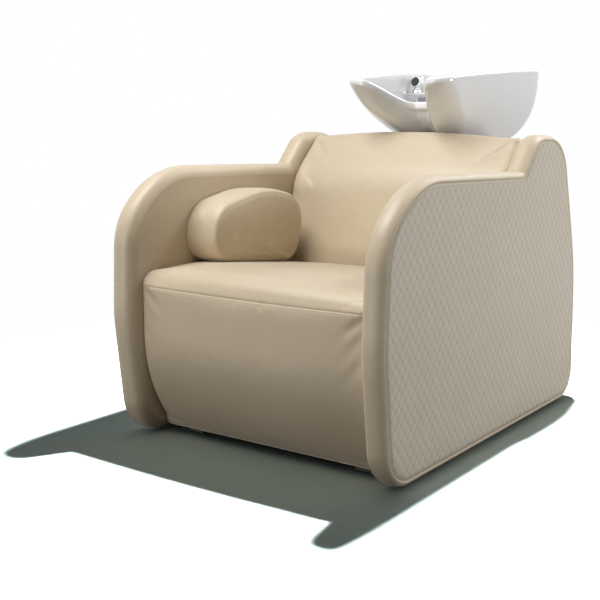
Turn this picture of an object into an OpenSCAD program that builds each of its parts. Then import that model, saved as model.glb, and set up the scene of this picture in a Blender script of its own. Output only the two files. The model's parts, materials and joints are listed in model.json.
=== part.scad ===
// Salon wash unit: an upholstered armchair with a tilting ceramic basin behind its back.
// Millimetres. +X is to the right seen from the front, +Y goes to the rear, +Z is up.
// Inside the modules Y starts at the front of the side panels. place() moves the origin
// to the middle of the floor under the whole unit.

/* [Overall] */
// Clear width between the two side panels
inner_w = 720; // [680:10:780]
// Thickness of a side panel over its covers
side_t = 70; // [66:2:84]
// Gap under the upholstery
floor_gap = 6; // [4:1:10]

/* [Side panels] */
// Distance from the front of the unit to the rear seam of a side panel
side_d = 1156; // [1130:2:1180]
// Height of the arm seam at its front
arm_h = 728; // [705:1:750]
// Fall of the arm seam on its way to the back
arm_fall = 16; // [0:1:30]
// Distance from the front to the foot of the back wing
wing_y = 746; // [725:1:765]
// Height of the seam over the back wing
wing_h = 806; // [790:1:830]
// How far the rounded cover band stands out past the seam
band_out = 17; // [12:1:20]
// Thickness of the plywood core in a side panel
side_board_t = 18; // [15:1:20]
// Thickness of the quilted outer cover with its wadding
quilt_t = 22; // [18:1:24]

/* [Seat] */
// Height of the highest line of the seat
seat_h = 480; // [460:1:495]
// Slope of the seat down to the back, in degrees
seat_slope = 7; // [4:0.5:9]
// Height of the plywood seat board's top
seat_board_z = 350; // [330:1:365]
// Distance from the front of the unit to the seat's front
seat_y = 36; // [25:1:50]
// Crown of the seat from its sides to its middle
seat_crown = 9; // [4:1:14]
// Gap between an upholstered piece and its neighbour
soft_gap = 0.3; // [0.3:0.1:0.6]

/* [Back] */
// Height of the back cushion's top
back_h = 826; // [800:1:830]
// Thickness of the plywood back board
back_board_t = 18; // [15:1:21]
// Crown of the back cushion from its sides to its middle
back_crown = 14; // [6:1:18]

/* [Arm pads] */
// Thickness of the pad on the inside of an arm
pad_t = 110; // [90:1:125]

/* [Basin] */
// Half width of the basin at its front lobes
basin_front_hw = 178; // [160:1:190]
// Half width of the basin at its rear
basin_rear_hw = 224; // [210:1:235]
// Distance from the front of the unit to the basin's front lobes
basin_y0 = 752; // [745:1:765]
// Distance from the front of the unit to the basin's rear
basin_y1 = 1335; // [1315:1:1350]
// Height of the rim at the front lobes
rim_front_z = 988; // [975:1:995]
// Height of the rim at the rear
rim_rear_z = 1022; // [1005:1:1030]
// Height of the neck rest's lip
neck_z = 921; // [905:1:930]
// Distance from the front of the unit to the neck rest's lip
neck_y = 915; // [900:1:925]
// Half width of the neck opening at the rim
neck_hw = 115; // [100:1:120]
// Height of the basin's flat underside
basin_bottom_z = 772; // [768:1:775]
// Height of the ledge that carries the mixer and the shower
ledge_z = 954; // [950:1:960]
// Bore of the drain hole in the ceramic
drain_d = 50; // [46:1:56]

/* [Tilt] */
// Height of the tilt axis
tilt_z = 740; // [736:1:744]
// Distance from the front of the unit to the tilt axis
tilt_y = 1105; // [1095:1:1115]
// Diameter of the two tilt bolts
tilt_bolt_d = 12; // [10:1:14]
// Running clearance of a tilt bolt in its lug, on the radius
run_gap = 0.05; // [0.03:0.01:0.08]

/* [Frame] */
// Height of the base tubes
tube_h = 30; // [25:1:35]
// Width of the base tubes
tube_w = 50; // [40:2:60]
// Wall of the steel tubes
tube_wall = 2.5; // [2:0.5:3]
// Distance of a floor bolt from the rail beside it
foot_reach = 22; // [18:1:30]
// Distance between the floor bolts from front to rear
bolt_span_y = 760; // [700:10:760]
// Diameter of the floor bolt holes
floor_bolt_d = 11; // [9:1:13]

/* [Water] */
// Diameter of the mixer's body
mixer_d = 42; // [38:1:46]
// Diameter of the shower head
head_d = 38; // [34:1:42]
// Outer diameter of the waste outlet
waste_d = 40; // [32:1:44]
// Outer diameter of the hot and cold hoses
hose_d = 12; // [10:1:14]
// Outer diameter of the water inlets
inlet_d = 20.8; // [16:0.1:26]

/* [Hidden] */
$fn = 48;

// Colours of the finishes
vinyl = [0.80, 0.71, 0.57];
quilt_vinyl = [0.78, 0.72, 0.61];
ceramic = [0.95, 0.95, 0.96];
plywood = [0.76, 0.62, 0.42];
steel = [0.20, 0.21, 0.22];
zinc = [0.70, 0.71, 0.72];
chrome = [0.86, 0.87, 0.89];
rubber = [0.12, 0.12, 0.12];
plastic = [0.90, 0.90, 0.88];

// Small amount by which a cut runs past a face
cut = 1;

// Whole depth of the unit, from the side panels' front to the basin's rear
total_d = basin_y1;
module place() translate([0, -total_d / 2, 0]) children();

// Plain geometry
function lerp(a, b, t) = a + (b - a) * t;
function smooth(t) = let (c = min(1, max(0, t))) c * c * (3 - 2 * c);
function unit(v) = v / norm(v);
function turn(a) = a > 180 ? a - 360 : a <= -180 ? a + 360 : a;

// Points of the arc of radius q[2] that rounds corner q between p and s
function arc_corner(p, q, s, step) =
    let (
        corner = [q[0], q[1]],
        u = unit([p[0], p[1]] - corner),
        v = unit([s[0], s[1]] - corner),
        half = acos(u * v) / 2,
        run = q[2] / tan(half),
        centre = corner + unit(u + v) * q[2] / sin(half),
        from = corner + u * run - centre,
        to = corner + v * run - centre,
        a = atan2(from[1], from[0]),
        sweep = turn(atan2(to[1], to[0]) - a),
        n = max(2, ceil(abs(sweep) / step))
    )
    [for (k = [0:n]) centre + q[2] * [cos(a + sweep * k / n), sin(a + sweep * k / n)]];

// Closed outline with every corner [y, z, radius] rounded, or left sharp at radius 0
function rounded(c, step = 14) =
    let (n = len(c))
    [for (i = [0:n - 1])
        each c[i][2] == 0
            ? [[c[i][0], c[i][1]]]
            : arc_corner(c[(i + n - 1) % n], c[i], c[(i + 1) % n], step)];
// Number of the point of an outline that lies nearest to a place
function nearest(p, place) = let (d = [for (q = p) norm(q - place)]) search(min(d), d)[0];

// Outline moved outwards by d, for an outline that runs anticlockwise
function grown(p, d) =
    let (n = len(p))
    [for (i = [0:n - 1])
        let (t = unit(p[(i + 1) % n] - p[(i + n - 1) % n])) p[i] + d * [t[1], -t[0]]];

// Solid through rings of equal length. A loop joins its last ring to its first, and has no ends.
// An end fans out from point number hub, from where the whole end can be seen
module skin(rings, loop = false, hub = 0) {
    m = len(rings);
    n = len(rings[0]);
    points = [for (r = rings) each r];
    sides = [for (i = [0:loop ? m - 1 : m - 2], j = [0:n - 1])
        let (a = i * n + j, b = i * n + (j + 1) % n, c = (a + n) % (m * n), d = (b + n) % (m * n))
        each [[a, c, d], [a, d, b]]];
    ends = loop ? [] : [
        [for (j = [0:n - 1]) (hub + j) % n],
        [for (j = [n:-1:1]) (m - 1) * n + (hub + j) % n]
    ];
    polyhedron(points, concat(ends, sides), convexity = 10);
}

// Outline in the YZ plane, set at x
function at_x(p, x) = [for (q = p) [x, q[0], q[1]]];

// Plate of thickness t, with an outline in the YZ plane, whose inner face lies at x
module plate_x(outline, x, t) {
    translate([x, 0, 0]) rotate([90, 0, 90]) linear_extrude(t) polygon(outline);
}

// Box from its low corner to its high corner
module block(a, b) {
    translate(a) cube(b - a);
}

// Round bar or hole along X, Y or Z from a start point
module rod_x(p, d, l) {
    translate(p) rotate([0, 90, 0]) cylinder(d = d, h = l);
}
module rod_y(p, d, l) {
    translate(p) rotate([-90, 0, 0]) cylinder(d = d, h = l);
}
module rod_z(p, d, l) {
    translate(p) cylinder(d = d, h = l);
}

// What the large radius takes off the corner in the middle of a side panel's front
front_cut = 1.7;
// Side panel outline at the seam, [y, z, radius] anticlockwise
inner_x = inner_w / 2;
outer_x = inner_x + side_t;
seam_bottom = floor_gap + band_out;
side_corners = [
    [band_out + 36, seam_bottom, 100],
    [side_d, seam_bottom, 72],
    [side_d - 22, 430, 700],
    [side_d - 142, wing_h, 125],
    [wing_y + 92, wing_h + 6, 85],
    [wing_y, arm_h - arm_fall, 32],
    [band_out + 142, arm_h + 1, 254],
    [band_out + 10, arm_h - 131, 168],
    [band_out - front_cut, 345, 600]
];
side_seam = rounded(side_corners);
side_hub = nearest(side_seam, [side_d, seam_bottom]);
// Where the quilted cover meets the pad, from the panel's inner face
quilt_x = outer_x - quilt_t;
// How far the plywood core stays inside the seam
board_inset = 45;
board_x = quilt_x - side_board_t;

// A side pad's section: [distance from the inner face, distance outside the seam]
pad_section = [
    [0, -16], [4, -2], [12, band_out - 7], [24, band_out - 1.5], [40, band_out],
    [54, band_out - 3], [side_t - 6, band_out - 9], [side_t - 3, 4], [side_t - 5.5, -1]
];

module side_pad() {
    color(vinyl) difference() {
        skin(concat(
            [for (s = pad_section) at_x(grown(side_seam, s[1]), inner_x + s[0])],
            [at_x(grown(side_seam, -1), quilt_x), at_x(grown(side_seam, -board_inset), quilt_x),
             at_x(grown(side_seam, -board_inset), board_x)]
        ), hub = side_hub);
        for (p = side_bolt_spots)
            rod_x([inner_x - cut, p[0], p[1]], spacer_d + 1, side_t);
        for (p = arm_screw_spots)
            rod_x([inner_x - cut, p[0], p[1]], arm_screw_d + 1, side_t);
    }
}

module side_board() {
    color(plywood) difference() {
        plate_x(grown(side_seam, -board_inset - soft_gap), board_x, side_board_t);
        for (p = side_bolt_spots)
            rod_x([board_x - cut, p[0], p[1]], side_bolt_d + bolt_play, side_board_t + 2 * cut);
        for (p = arm_screw_spots) {
            rod_x([board_x - cut, p[0], p[1]], arm_screw_d + bolt_play, side_board_t + 2 * cut);
            rod_x([quilt_x - screw_head_h, p[0], p[1]], 2 * arm_screw_d + bolt_play, screw_head_h + cut);
        }
    }
}

// Quilted outer cover, whose edge dips into the seam along the band
module side_quilt() {
    edge = [[quilt_x, -1 - soft_gap], [outer_x - 5, -1 - soft_gap], [outer_x - 2, -4], [outer_x, -14]];
    color(quilt_vinyl) skin([for (s = edge) at_x(grown(side_seam, s[1]), s[0])], hub = side_hub);
}

// Clearance of a hole round a bolt or screw, on the diameter
bolt_play = 0.4;
// Hexagon head or nut for a bolt of diameter d: across its flats, height of a head, height of a nut
function hex_across(d) = 1.3 * d + 2.6;
function head_h(d) = 0.65 * d;
function nut_h(d) = 0.85 * d;

// Bolts that hold a side panel to the tabs of the base frame, through spacer tubes
side_bolt_d = 8;
spacer_d = 16;
side_bolt_spots = [[200, 104], [560, 104], [960, 104]];
rail_x = inner_x - 8;
tab_t = 6;
tab_x = rail_x - tab_t;

module hex_head(p, across, h) {
    translate(p) cylinder(d = across / cos(30), h = h, $fn = 6);
}

module side_bolts() {
    high = head_h(side_bolt_d);
    color(zinc) for (s = [0, 1], p = side_bolt_spots) mirror([s, 0, 0]) {
        translate([tab_x - high, p[0], p[1]]) rotate([0, 90, 0])
            hex_head([0, 0, 0], hex_across(side_bolt_d), high);
        rod_x([tab_x - cut, p[0], p[1]], side_bolt_d, quilt_x - tab_x);
        difference() {
            rod_x([rail_x, p[0], p[1]], spacer_d, board_x - rail_x);
            rod_x([rail_x - cut, p[0], p[1]], side_bolt_d + bolt_play, board_x - rail_x + 2 * cut);
        }
    }
}

// Seat section in the YZ plane: a front apron that tucks under, and a top that falls to the back
seat_line_y = 291;
seat_rear_y = 648;
seat_low = floor_gap + 18;
box_y = 150;
function seat_z(y) = seat_h - (y - seat_line_y) * tan(seat_slope);
seat_corners = [
    [box_y - soft_gap, seat_low, 4],
    [box_y - soft_gap, seat_board_z + soft_gap, 0],
    [seat_rear_y, seat_board_z + soft_gap, 4],
    [seat_rear_y + 4, seat_z(seat_rear_y), 22],
    [seat_line_y - 50, seat_h + 1, 800],
    [seat_y + 6, seat_h - 2, 50],
    [seat_y + 7, 165, 420],
    [box_y - 8, seat_low, 24]
];
seat_outline = rounded(seat_corners, 13);
seat_hub = nearest(seat_outline, [box_y, seat_board_z]);
// The cover swells only on the sides that show
function seat_swell(p, d) =
    let (g = grown(p, d))
    [for (i = [0:len(p) - 1])
        let (show = smooth((box_y - 2 - p[i][0]) / 30) + smooth((p[i][1] - seat_board_z - 2) / 30))
        lerp(p[i], g[i], min(1, show))];

// Stations across the half width of a crowned cushion: [share of the width, swell]
function crown_stations(hw, crown, edge) = [
    [0, crown], [hw * 0.35, crown * 0.86], [hw * 0.65, crown * 0.45], [hw * 0.86, 0],
    [hw - edge, -edge * 0.05], [hw - edge * 0.45, -edge * 0.2], [hw - edge * 0.12, -edge * 0.5], [hw, -edge]
];
function mirrored(s) = concat([for (i = [len(s) - 1:-1:1]) [-s[i][0], s[i][1]]], s);
cushion_hw = inner_x - soft_gap;

module seat_cushion() {
    color(vinyl)
    skin([for (s = mirrored(crown_stations(cushion_hw, seat_crown, 15)))
        at_x(seat_swell(seat_outline, s[1] - seat_crown * 0.5), s[0])], hub = seat_hub);
}

module seat_box() {
    low = frame_top;
    high = seat_board_z - seat_board_t;
    color(plywood) difference() {
        block([-box_hw, box_y, low], [box_hw, box_rear_y, high]);
        block([-box_hw + box_t, box_y + box_t, low - cut], [box_hw - box_t, box_rear_y - box_t, high + cut]);
        for (s = [-1, 1], p = side_bolt_spots)
            rod_x([s * box_hw - 2 * box_t, p[0], p[1]], access_d, 4 * box_t);
    }
}
seat_board_t = 18;
box_t = 18;
box_hw = inner_x - 20;
box_rear_y = 570;
// Holes in the box's sides for a spanner on the side bolts
access_d = 22;
// Half width of the seat board and the back board
board_hw = inner_x - 12;
// Holes that let the cushion breathe
vent_d = 30;
vent_pitch = 120;

module seat_board() {
    color(plywood) difference() {
        block([-board_hw, box_y, seat_board_z - seat_board_t], [board_hw, seat_rear_y, seat_board_z]);
        for (i = [-2:2], j = [0:2])
            rod_z([i * vent_pitch, box_y + 110 + j * vent_pitch, seat_board_z - seat_board_t - cut],
                  vent_d, seat_board_t + 2 * cut);
    }
}

// Back cushion section: a steep front that leans back towards its top
back_foot_y = 658;
back_foot_z = 412;
back_lean = 65;
back_slope = 1 / tan(back_lean);
back_rear_foot_y = 742;
function back_rear(z) = back_rear_foot_y + (z - back_foot_z) * back_slope;
back_corners = [
    [back_foot_y, back_foot_z, 16],
    [back_rear_foot_y - soft_gap, back_foot_z, 4],
    [back_rear(back_h - 40) - soft_gap, back_h - 40, 12],
    [884, back_h + 12, 30],
    [742, 700, 190]
];
back_outline = rounded(back_corners, 11);
function back_swell(p, d) =
    let (g = grown(p, d))
    [for (i = [0:len(p) - 1])
        let (
            off_board = smooth((back_rear(p[i][1]) - p[i][0] - 12) / 30),
            off_foot = smooth((p[i][1] - back_foot_z - 12) / 60)
        )
        lerp(p[i], g[i], off_board * off_foot)];

module back_cushion() {
    color(vinyl)
    skin([for (s = mirrored(crown_stations(cushion_hw, back_crown, 20)))
        at_x(back_swell(back_outline, s[1]), s[0])]);
}

back_board_low = 420;
back_board_high = back_h - 46;
module back_board() {
    run = back_run;
    color(plywood) difference() {
        rotate([90, 0, 90]) translate([0, 0, -board_hw]) linear_extrude(2 * board_hw) polygon([
            [back_rear(back_board_low), back_board_low], [back_rear(back_board_low) + run, back_board_low],
            [back_rear(back_board_high) + run, back_board_high], [back_rear(back_board_high), back_board_high]
        ]);
        for (s = [-1, 1], z = back_bolt_zs) at_strut(s * strut_x, z)
            rod_z([0, 0, -bolt_bite - 0.5], back_bolt_d + bolt_play, back_board_t);
    }
}

// Arm pad outline on the inside of an arm, [y, z, radius] anticlockwise. It stands on the seat
pad_rise = 1.8;
pad_rear_y = 622;
// Height of a pad over the seat's highest line
pad_h = 191;
pad_corners = [
    [233, seat_h + pad_rise, 68],
    [pad_rear_y, seat_z(pad_rear_y) + pad_rise, 66],
    [676, seat_h + pad_h - 68, 74],
    [440, seat_h + pad_h, 340],
    [241, seat_h + pad_h - 43, 74]
];
pad_outline = rounded(pad_corners, 12);
arm_board_t = 12;
arm_board_inset = 34;

module arm_pad() {
    x = inner_x - soft_gap;
    section = [
        [-arm_board_t, -arm_board_inset], [0, -arm_board_inset], [0, -3], [5, 0],
        [pad_t * 0.5, 3], [pad_t * 0.8, 2],
        [pad_t - 9, -3], [pad_t - 3, -11], [pad_t, -24], [pad_t + 4, -46], [pad_t + 6, -66]
    ];
    rings = [for (s = section) at_x(grown(pad_outline, s[1]), x - (s[0] < 0 ? -s[0] : s[0]))];
    color(vinyl) skin([for (i = [len(rings) - 1:-1:0]) rings[i]]);
}

module arm_board() {
    x = inner_x - soft_gap - arm_board_t;
    color(plywood) difference() {
        plate_x(grown(pad_outline, -arm_board_inset - soft_gap), x, arm_board_t);
        for (p = arm_screw_spots) rod_x([x + screw_skin, p[0], p[1]], arm_screw_d + bolt_play, arm_board_t);
    }
}

arm_screw_d = 6;
arm_screw_spots = [[330, seat_h + 80], [550, seat_h + 60]];
screw_head_h = 4;
// Wood left in front of a screw's tip
screw_skin = 4;
module arm_screws() {
    x = inner_x - soft_gap - arm_board_t + screw_skin;
    color(zinc) for (s = [0, 1], p = arm_screw_spots) mirror([s, 0, 0]) {
        rod_x([x, p[0], p[1]], arm_screw_d, quilt_x - screw_head_h - x);
        rod_x([quilt_x - screw_head_h, p[0], p[1]], 2 * arm_screw_d, screw_head_h);
    }
}

// Basin: one plan for the rim and for every level below it.
// Each point is [x, y, share of the neck's drop]
function half_plan(hf, hr, yf, yr, rf, rr, yn, wn) = concat(
    [for (i = [0:8])
        let (x = wn * i / 8)
        [x, lerp(yn, yf, smooth((x - 12) / (wn - 12))), 1 - smooth((x - 28) / (wn - 28))]],
    [for (i = [0:4]) let (a = 90 * i / 4) [hf - rf + rf * sin(a), yf + rf - rf * cos(a), 0]],
    [for (t = [0.33, 0.66]) [lerp(hf, hr, t), lerp(yf + rf, yr - rr, t), 0]],
    [for (i = [0:4]) let (a = 90 * i / 4) [hr - rr + rr * cos(a), yr - rr + rr * sin(a), 0]],
    [[(hr - rr) / 2, yr, 0], [0, yr, 0]]
);
// The middle of its right rear corner
plan_hub = 18;
function whole_plan(h) = concat(h, [for (i = [len(h) - 2:-1:1]) [-h[i][0], h[i][1], h[i][2]]]);
// Rim plan drawn in by d all round, and by less where the sides widen to the rear
rear_lip = 0.7;
function rim_plan(d) = whole_plan(half_plan(
    basin_front_hw - d, basin_rear_hw - d * rear_lip, basin_y0 + d, basin_y1 - d,
    52 - d, 62 - d, neck_y + d, neck_hw + d * 0.5
));
// Height of the rim's line at a point
function rim_z(p) =
    let (
        t = min(1, max(0, (p[1] - basin_y0) / (basin_y1 - basin_y0))),
        line = lerp(rim_front_z, rim_rear_z, 1 - pow(1 - t, 1.5))
    )
    lerp(line, neck_z, p[2]);
function rim_ring(d, down) = [for (p = rim_plan(d)) [p[0], p[1], rim_z(p) - down]];
function flat_ring(h, z) = [for (p = whole_plan(h)) [p[0], p[1], z]];
// The wall curves down from its top ring to its foot, drawn out by a low ring that is rounder than the rim
// and lies higher at the front. That ring lies inside the outer wall by w, and up above its height
turn_hw = 182;
turn_r = 95;
turn_y0 = 822;
turn_neck_y = 932;
turn_front_up = 94;
turn_rear_up = 18;
function turn_ring(w, up) =
    let (h = half_plan(turn_hw - w, basin_rear_hw - w, turn_y0 + w, basin_y1 - w,
                       turn_r - w, 62 - w, turn_neck_y + w, turn_hw - turn_r))
    [for (p = whole_plan(h))
        [p[0], p[1],
         basin_bottom_z + up + lerp(turn_front_up, turn_rear_up, smooth((p[1] - turn_y0) / 300))]];
// Ring of the wall at share u of the way from ring a past ring t to ring b
function mid_ring(a, t, b, u) = [for (i = [0:len(a) - 1])
    (1 - u) * (1 - u) * a[i] + 2 * u * (1 - u) * t[i] + u * u * b[i]];

// Width of the rolled lip, its depth on the outside, and how far it overhangs the outer wall
lip_w = 17;
lip_depth = 27;
lip_over = 10;
// The flat underside round the drain, and the thickness of the bowl's floor
bowl_y0 = tilt_y - 65;
bowl_y1 = tilt_y + 77;
bowl_floor = 18;
// The lip overhangs the outer wall only round the neck
function lip_under(down) = [for (p = rim_plan(0))
    let (
        front = smooth((neck_hw + 45 - abs(p[0])) / 60) * (1 - smooth((p[1] - basin_y0 - 170) / 40)),
        q = unit([p[0], p[1] - 1060])
    )
    [p[0] - q[0] * lip_over * front, p[1] - q[1] * lip_over * front, rim_z(p) - down]];
bowl_under = flat_ring(half_plan(66, 84, bowl_y0, bowl_y1, 34, 50, bowl_y0 + 2, 30), basin_bottom_z);
bowl_inside = flat_ring(
    half_plan(52, 64, bowl_y0 + 20, bowl_y1 - 24, 24, 36, bowl_y0 + 22, 26), basin_bottom_z + bowl_floor);
// Inner wall above the ledge, then the bowl's own mouth, pulled forward at the rear to leave the ledge
ledge_y = 1188;
function wall_foot() = [for (p = rim_plan(lip_w + 3))
    [p[0], p[1], min(ledge_z, rim_z(p) - 24)]];
function bowl_mouth() =
    let (
        w = lip_w + 9,
        h = half_plan(basin_front_hw - w, basin_rear_hw - w, basin_y0 + w + 4, ledge_y,
                      32, 46, neck_y + w + 4, neck_hw + 4)
    )
    [for (p = whole_plan(h)) [p[0], p[1], min(ledge_z - 4, rim_z(p) - 34)]];

// Shares of the way down at which the outer wall has a ring
outer_shares = [1, 0.9, 0.8, 0.7, 0.6, 0.5, 0.39, 0.27, 0.14, 0];

module basin() {
    outer = lip_under(lip_depth);
    mouth = bowl_mouth();
    outer_turn = turn_ring(0, 0);
    inner_turn = turn_ring(lip_w + 9, bowl_floor);
    rings = concat(
        [for (u = outer_shares) mid_ring(outer, outer_turn, bowl_under, u)],
        [rim_ring(0, 15), rim_ring(0, 7), rim_ring(3, 1.5)],
        [rim_ring(8, 0), rim_ring(13, 1.5), rim_ring(lip_w, 7)],
        [wall_foot()],
        [for (i = [len(outer_shares) - 1:-1:0]) mid_ring(mouth, inner_turn, bowl_inside, outer_shares[i])]
    );
    color(ceramic) difference() {
        skin(rings, hub = plan_hub);
        service_hollow();
        rod_z([0, drain_y, basin_bottom_z - cut], drain_d, bowl_floor + 2 * cut);
        rod_z([mixer_x, mixer_y, ledge_z - 2 * ledge_t], mixer_stem_d + 3, 4 * ledge_t);
        rod_z([shower_x, shower_y, ledge_z - 2 * ledge_t], collar_d + 2, 4 * ledge_t);
    }
}

// Hollow under the ledge, open below, where the mixer's and the shower's hoses run
hollow_wall = 9;
hollow_y = ledge_y + 8;
// The slit through the outer wall where the hoses leave the hollow
slit_hw = 116;
slit_y = 1222;
slit_h = 60;
function inner_top(w) = [for (p = rim_plan(w)) [p[0], p[1], rim_z(p) - lip_depth]];
function inner_under(w) = flat_ring(
    half_plan(66 - w, 84 - w, bowl_y0 + w, bowl_y1 - w, 34 - w, 50 - w, bowl_y0 + 2 + w, 30 - w),
    basin_bottom_z);

module service_hollow() {
    under = inner_under(hollow_wall);
    over = inner_top(hollow_wall);
    turn = turn_ring(hollow_wall, 0);
    lid = [for (p = over) [p[0], p[1], rim_rear_z]];
    intersection() {
        skin(concat([for (u = outer_shares) mid_ring(over, turn, under, u)], [lid]), hub = plan_hub);
        block([-basin_rear_hw, hollow_y, basin_bottom_z - cut], [basin_rear_hw, basin_y1, ledge_z - ledge_t]);
    }
    block([-slit_hw, hollow_y, basin_bottom_z - cut], [slit_hw, slit_y, basin_bottom_z + slit_h]);
}
ledge_t = 16;

drain_y = tilt_y;
mixer_x = 96;
mixer_y = 1252;
mixer_stem_d = 30;
shower_x = 42 - basin_rear_hw;
shower_y = 1212;
handle_d = 22;
collar_d = handle_d + 4;

// Steel frame
frame_z = floor_gap;
rail_y0 = 170;
rail_y1 = 1092;
column_x = 100;
column_y = 1020;
column_w = 40;
column_top = 700;
// Plate on top of a column: thickness, half length and half width
end_plate_t = 6;
end_plate_hl = 50;
end_plate_hw = 30;
strut_x = inner_x - 40;
strut_w = 30;

// Square tube between two corners, hollow along one axis (0 for X, 1 for Y, 2 for Z)
module tube(a, b, along) {
    inset = [for (i = [0:2]) i == along ? -cut : tube_wall];
    difference() {
        block(a, b);
        block(a + inset, b - inset);
    }
}

// Front face of the struts, just behind the back board
back_run = back_board_t / sin(back_lean);
strut_run = strut_w / sin(back_lean);
function strut_y(z) = back_rear(z) + back_run;
strut_top = back_board_high - 12;
bolt_x = rail_x - tube_w - foot_reach;
bolt_y0 = 200;
bolt_ys = [bolt_y0, bolt_y0 + bolt_span_y];
cross_ys = [bolt_y0 + 40, 640, column_y - tube_w / 2];
// Square of the slim tubes: the rear one and the arms under the shelf
slim_w = 30;

// Sloping bar between two heights, with its front face on the struts' plane
module leaning(z0, z1, run, x, w) {
    rotate([90, 0, 90]) translate([0, 0, x - w / 2]) linear_extrude(w)
        polygon([[strut_y(z0), z0], [strut_y(z0) + run, z0], [strut_y(z1) + run, z1], [strut_y(z1), z1]]);
}

frame_top = frame_z + tube_h;
foot_l = 60;
// Height of a side tab over its bolt, and its half length
tab_over = 22;
tab_hl = 28;

// Two rails with the tabs for the side panels and the feet for the floor bolts
module frame_rails() {
    inner = rail_x - tube_w;
    color(steel) for (s = [0, 1]) mirror([s, 0, 0]) difference() {
        union() {
            tube([inner, rail_y0, frame_z], [rail_x, rail_y1, frame_top], 1);
            for (p = side_bolt_spots)
                block([tab_x, p[0] - tab_hl, frame_top - tube_wall],
                      [rail_x, p[0] + tab_hl, p[1] + tab_over]);
            for (y = bolt_ys)
                block([bolt_x - 2.5 * floor_bolt_d, y - foot_l / 2, frame_z],
                      [inner + cut, y + foot_l / 2, frame_z + tab_t]);
        }
        for (p = side_bolt_spots)
            rod_x([tab_x - cut, p[0], p[1]], side_bolt_d + bolt_play, tab_t + 2 * cut);
        for (y = bolt_ys)
            rod_z([bolt_x, y, frame_z - cut], floor_bolt_d, tab_t + 2 * cut);
    }
}

// Tubes across the base, and the two arms under the rear shelf
module cross_tubes() {
    end = rail_x - tube_w;
    shelf_low = shelf_z - shelf_t;
    color(steel) {
        for (y = cross_ys)
            tube([-end, y, frame_z], [end, y + tube_w, frame_top], 0);
        difference() {
            tube([-end, rail_y1 - slim_w, frame_z], [end, rail_y1, frame_top], 0);
            for (p = service_screw_spots)
                rod_y([p[0], rail_y1 - 2 * slim_w, p[1]], service_screw_d + bolt_play, 3 * slim_w);
        }
        for (s = [0, 1]) mirror([s, 0, 0])
            tube([column_x + column_w / 2, column_y - slim_w / 2, shelf_low - slim_w],
                 [rail_x, column_y + slim_w / 2, shelf_low], 0);
    }
}

// Two columns with their end plates, which carry the basin
module basin_columns() {
    plate_low = column_top - end_plate_t;
    color(steel) for (s = [-1, 1]) translate([s * column_x, column_y, 0]) difference() {
        union() {
            tube([-column_w / 2, -column_w / 2, frame_top], [column_w / 2, column_w / 2, plate_low + cut], 2);
            block([-end_plate_hl, -end_plate_hw, plate_low], [end_plate_hl, end_plate_hw, column_top]);
        }
        for (dx = bracket_bolt_dx)
            rod_z([dx, 0, plate_low - cut], bracket_bolt_d + bolt_play, end_plate_t + 2 * cut);
    }
}

module back_struts() {
    color(steel) for (s = [-1, 1]) difference() {
        leaning(frame_top, strut_top, strut_run, s * strut_x, strut_w);
        for (z = back_bolt_zs)
            at_strut(s * strut_x, z) rod_z([0, 0, -cut], back_bolt_d + bolt_play, strut_w + 2 * cut);
    }
}

// Bolts that hold the back board on its struts. Z runs along a bolt, from the board to the rear
back_bolt_d = 8;
back_bolt_zs = [back_board_low + 80, back_board_high - 60];
// Length of a back bolt's thread inside the board
bolt_bite = 14;
bracket_bolt_d = 8;
bracket_bolt_dx = [-35, 35];
module at_strut(x, z) translate([x, strut_y(z), z]) rotate([back_lean - 180, 0, 0]) children();
module back_bolts() {
    color(zinc) for (s = [-1, 1], z = back_bolt_zs) at_strut(s * strut_x, z) {
        grip = strut_w + (z > shelf_z ? cover_t : 0);
        rod_z([0, 0, -bolt_bite], back_bolt_d, bolt_bite + grip + cut);
        hex_head([0, 0, grip], hex_across(back_bolt_d), head_h(back_bolt_d));
    }
}

// Cover over the rear of the struts. It stands on the shelf, and the upper bolts clamp it
cover_t = 5;
module back_cover() {
    color(vinyl) difference() {
        translate([0, strut_run, 0])
            leaning(shelf_z + soft_gap, strut_top, cover_t / sin(back_lean), 0, 2 * board_hw);
        for (s = [-1, 1], z = back_bolt_zs) at_strut(s * strut_x, z)
            rod_z([0, 0, strut_w - cut], back_bolt_d + bolt_play, cover_t + 2 * cut);
    }
}

glide_r = 20;
glide_ys = [rail_y0 + 30, 640, rail_y1 - 40];
module floor_glides() {
    color(rubber) for (x = [-1, 1], y = glide_ys)
        translate([x * (rail_x - tube_w / 2), y, 0]) rotate_extrude()
            polygon([[0, 0], [glide_r - 2, 0], [glide_r, 2], [glide_r, frame_z], [0, frame_z]]);
}

// Shelf over the service space behind the back, and the panel that closes it
shelf_z = 556;
shelf_t = 16;
shelf_y0 = strut_y(shelf_z) + strut_run + soft_gap;
panel_t = 14;
service_screw_d = 4;
screw_low_z = frame_z + tube_h / 2;
screw_high_z = shelf_z - shelf_t / 2;
service_screw_spots = [for (s = [-1, 1])
    each [[s * (inner_x - 90), screw_low_z], [s * (inner_x - 40), screw_high_z]]];
// Slot in the shelf for the small hoses
slot_x0 = -150;
slot_x1 = 180;
slot_y0 = 1050;
waste_hole_y = 1028;
// Room round a column in the shelf
column_gap = 0.5;

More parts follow.
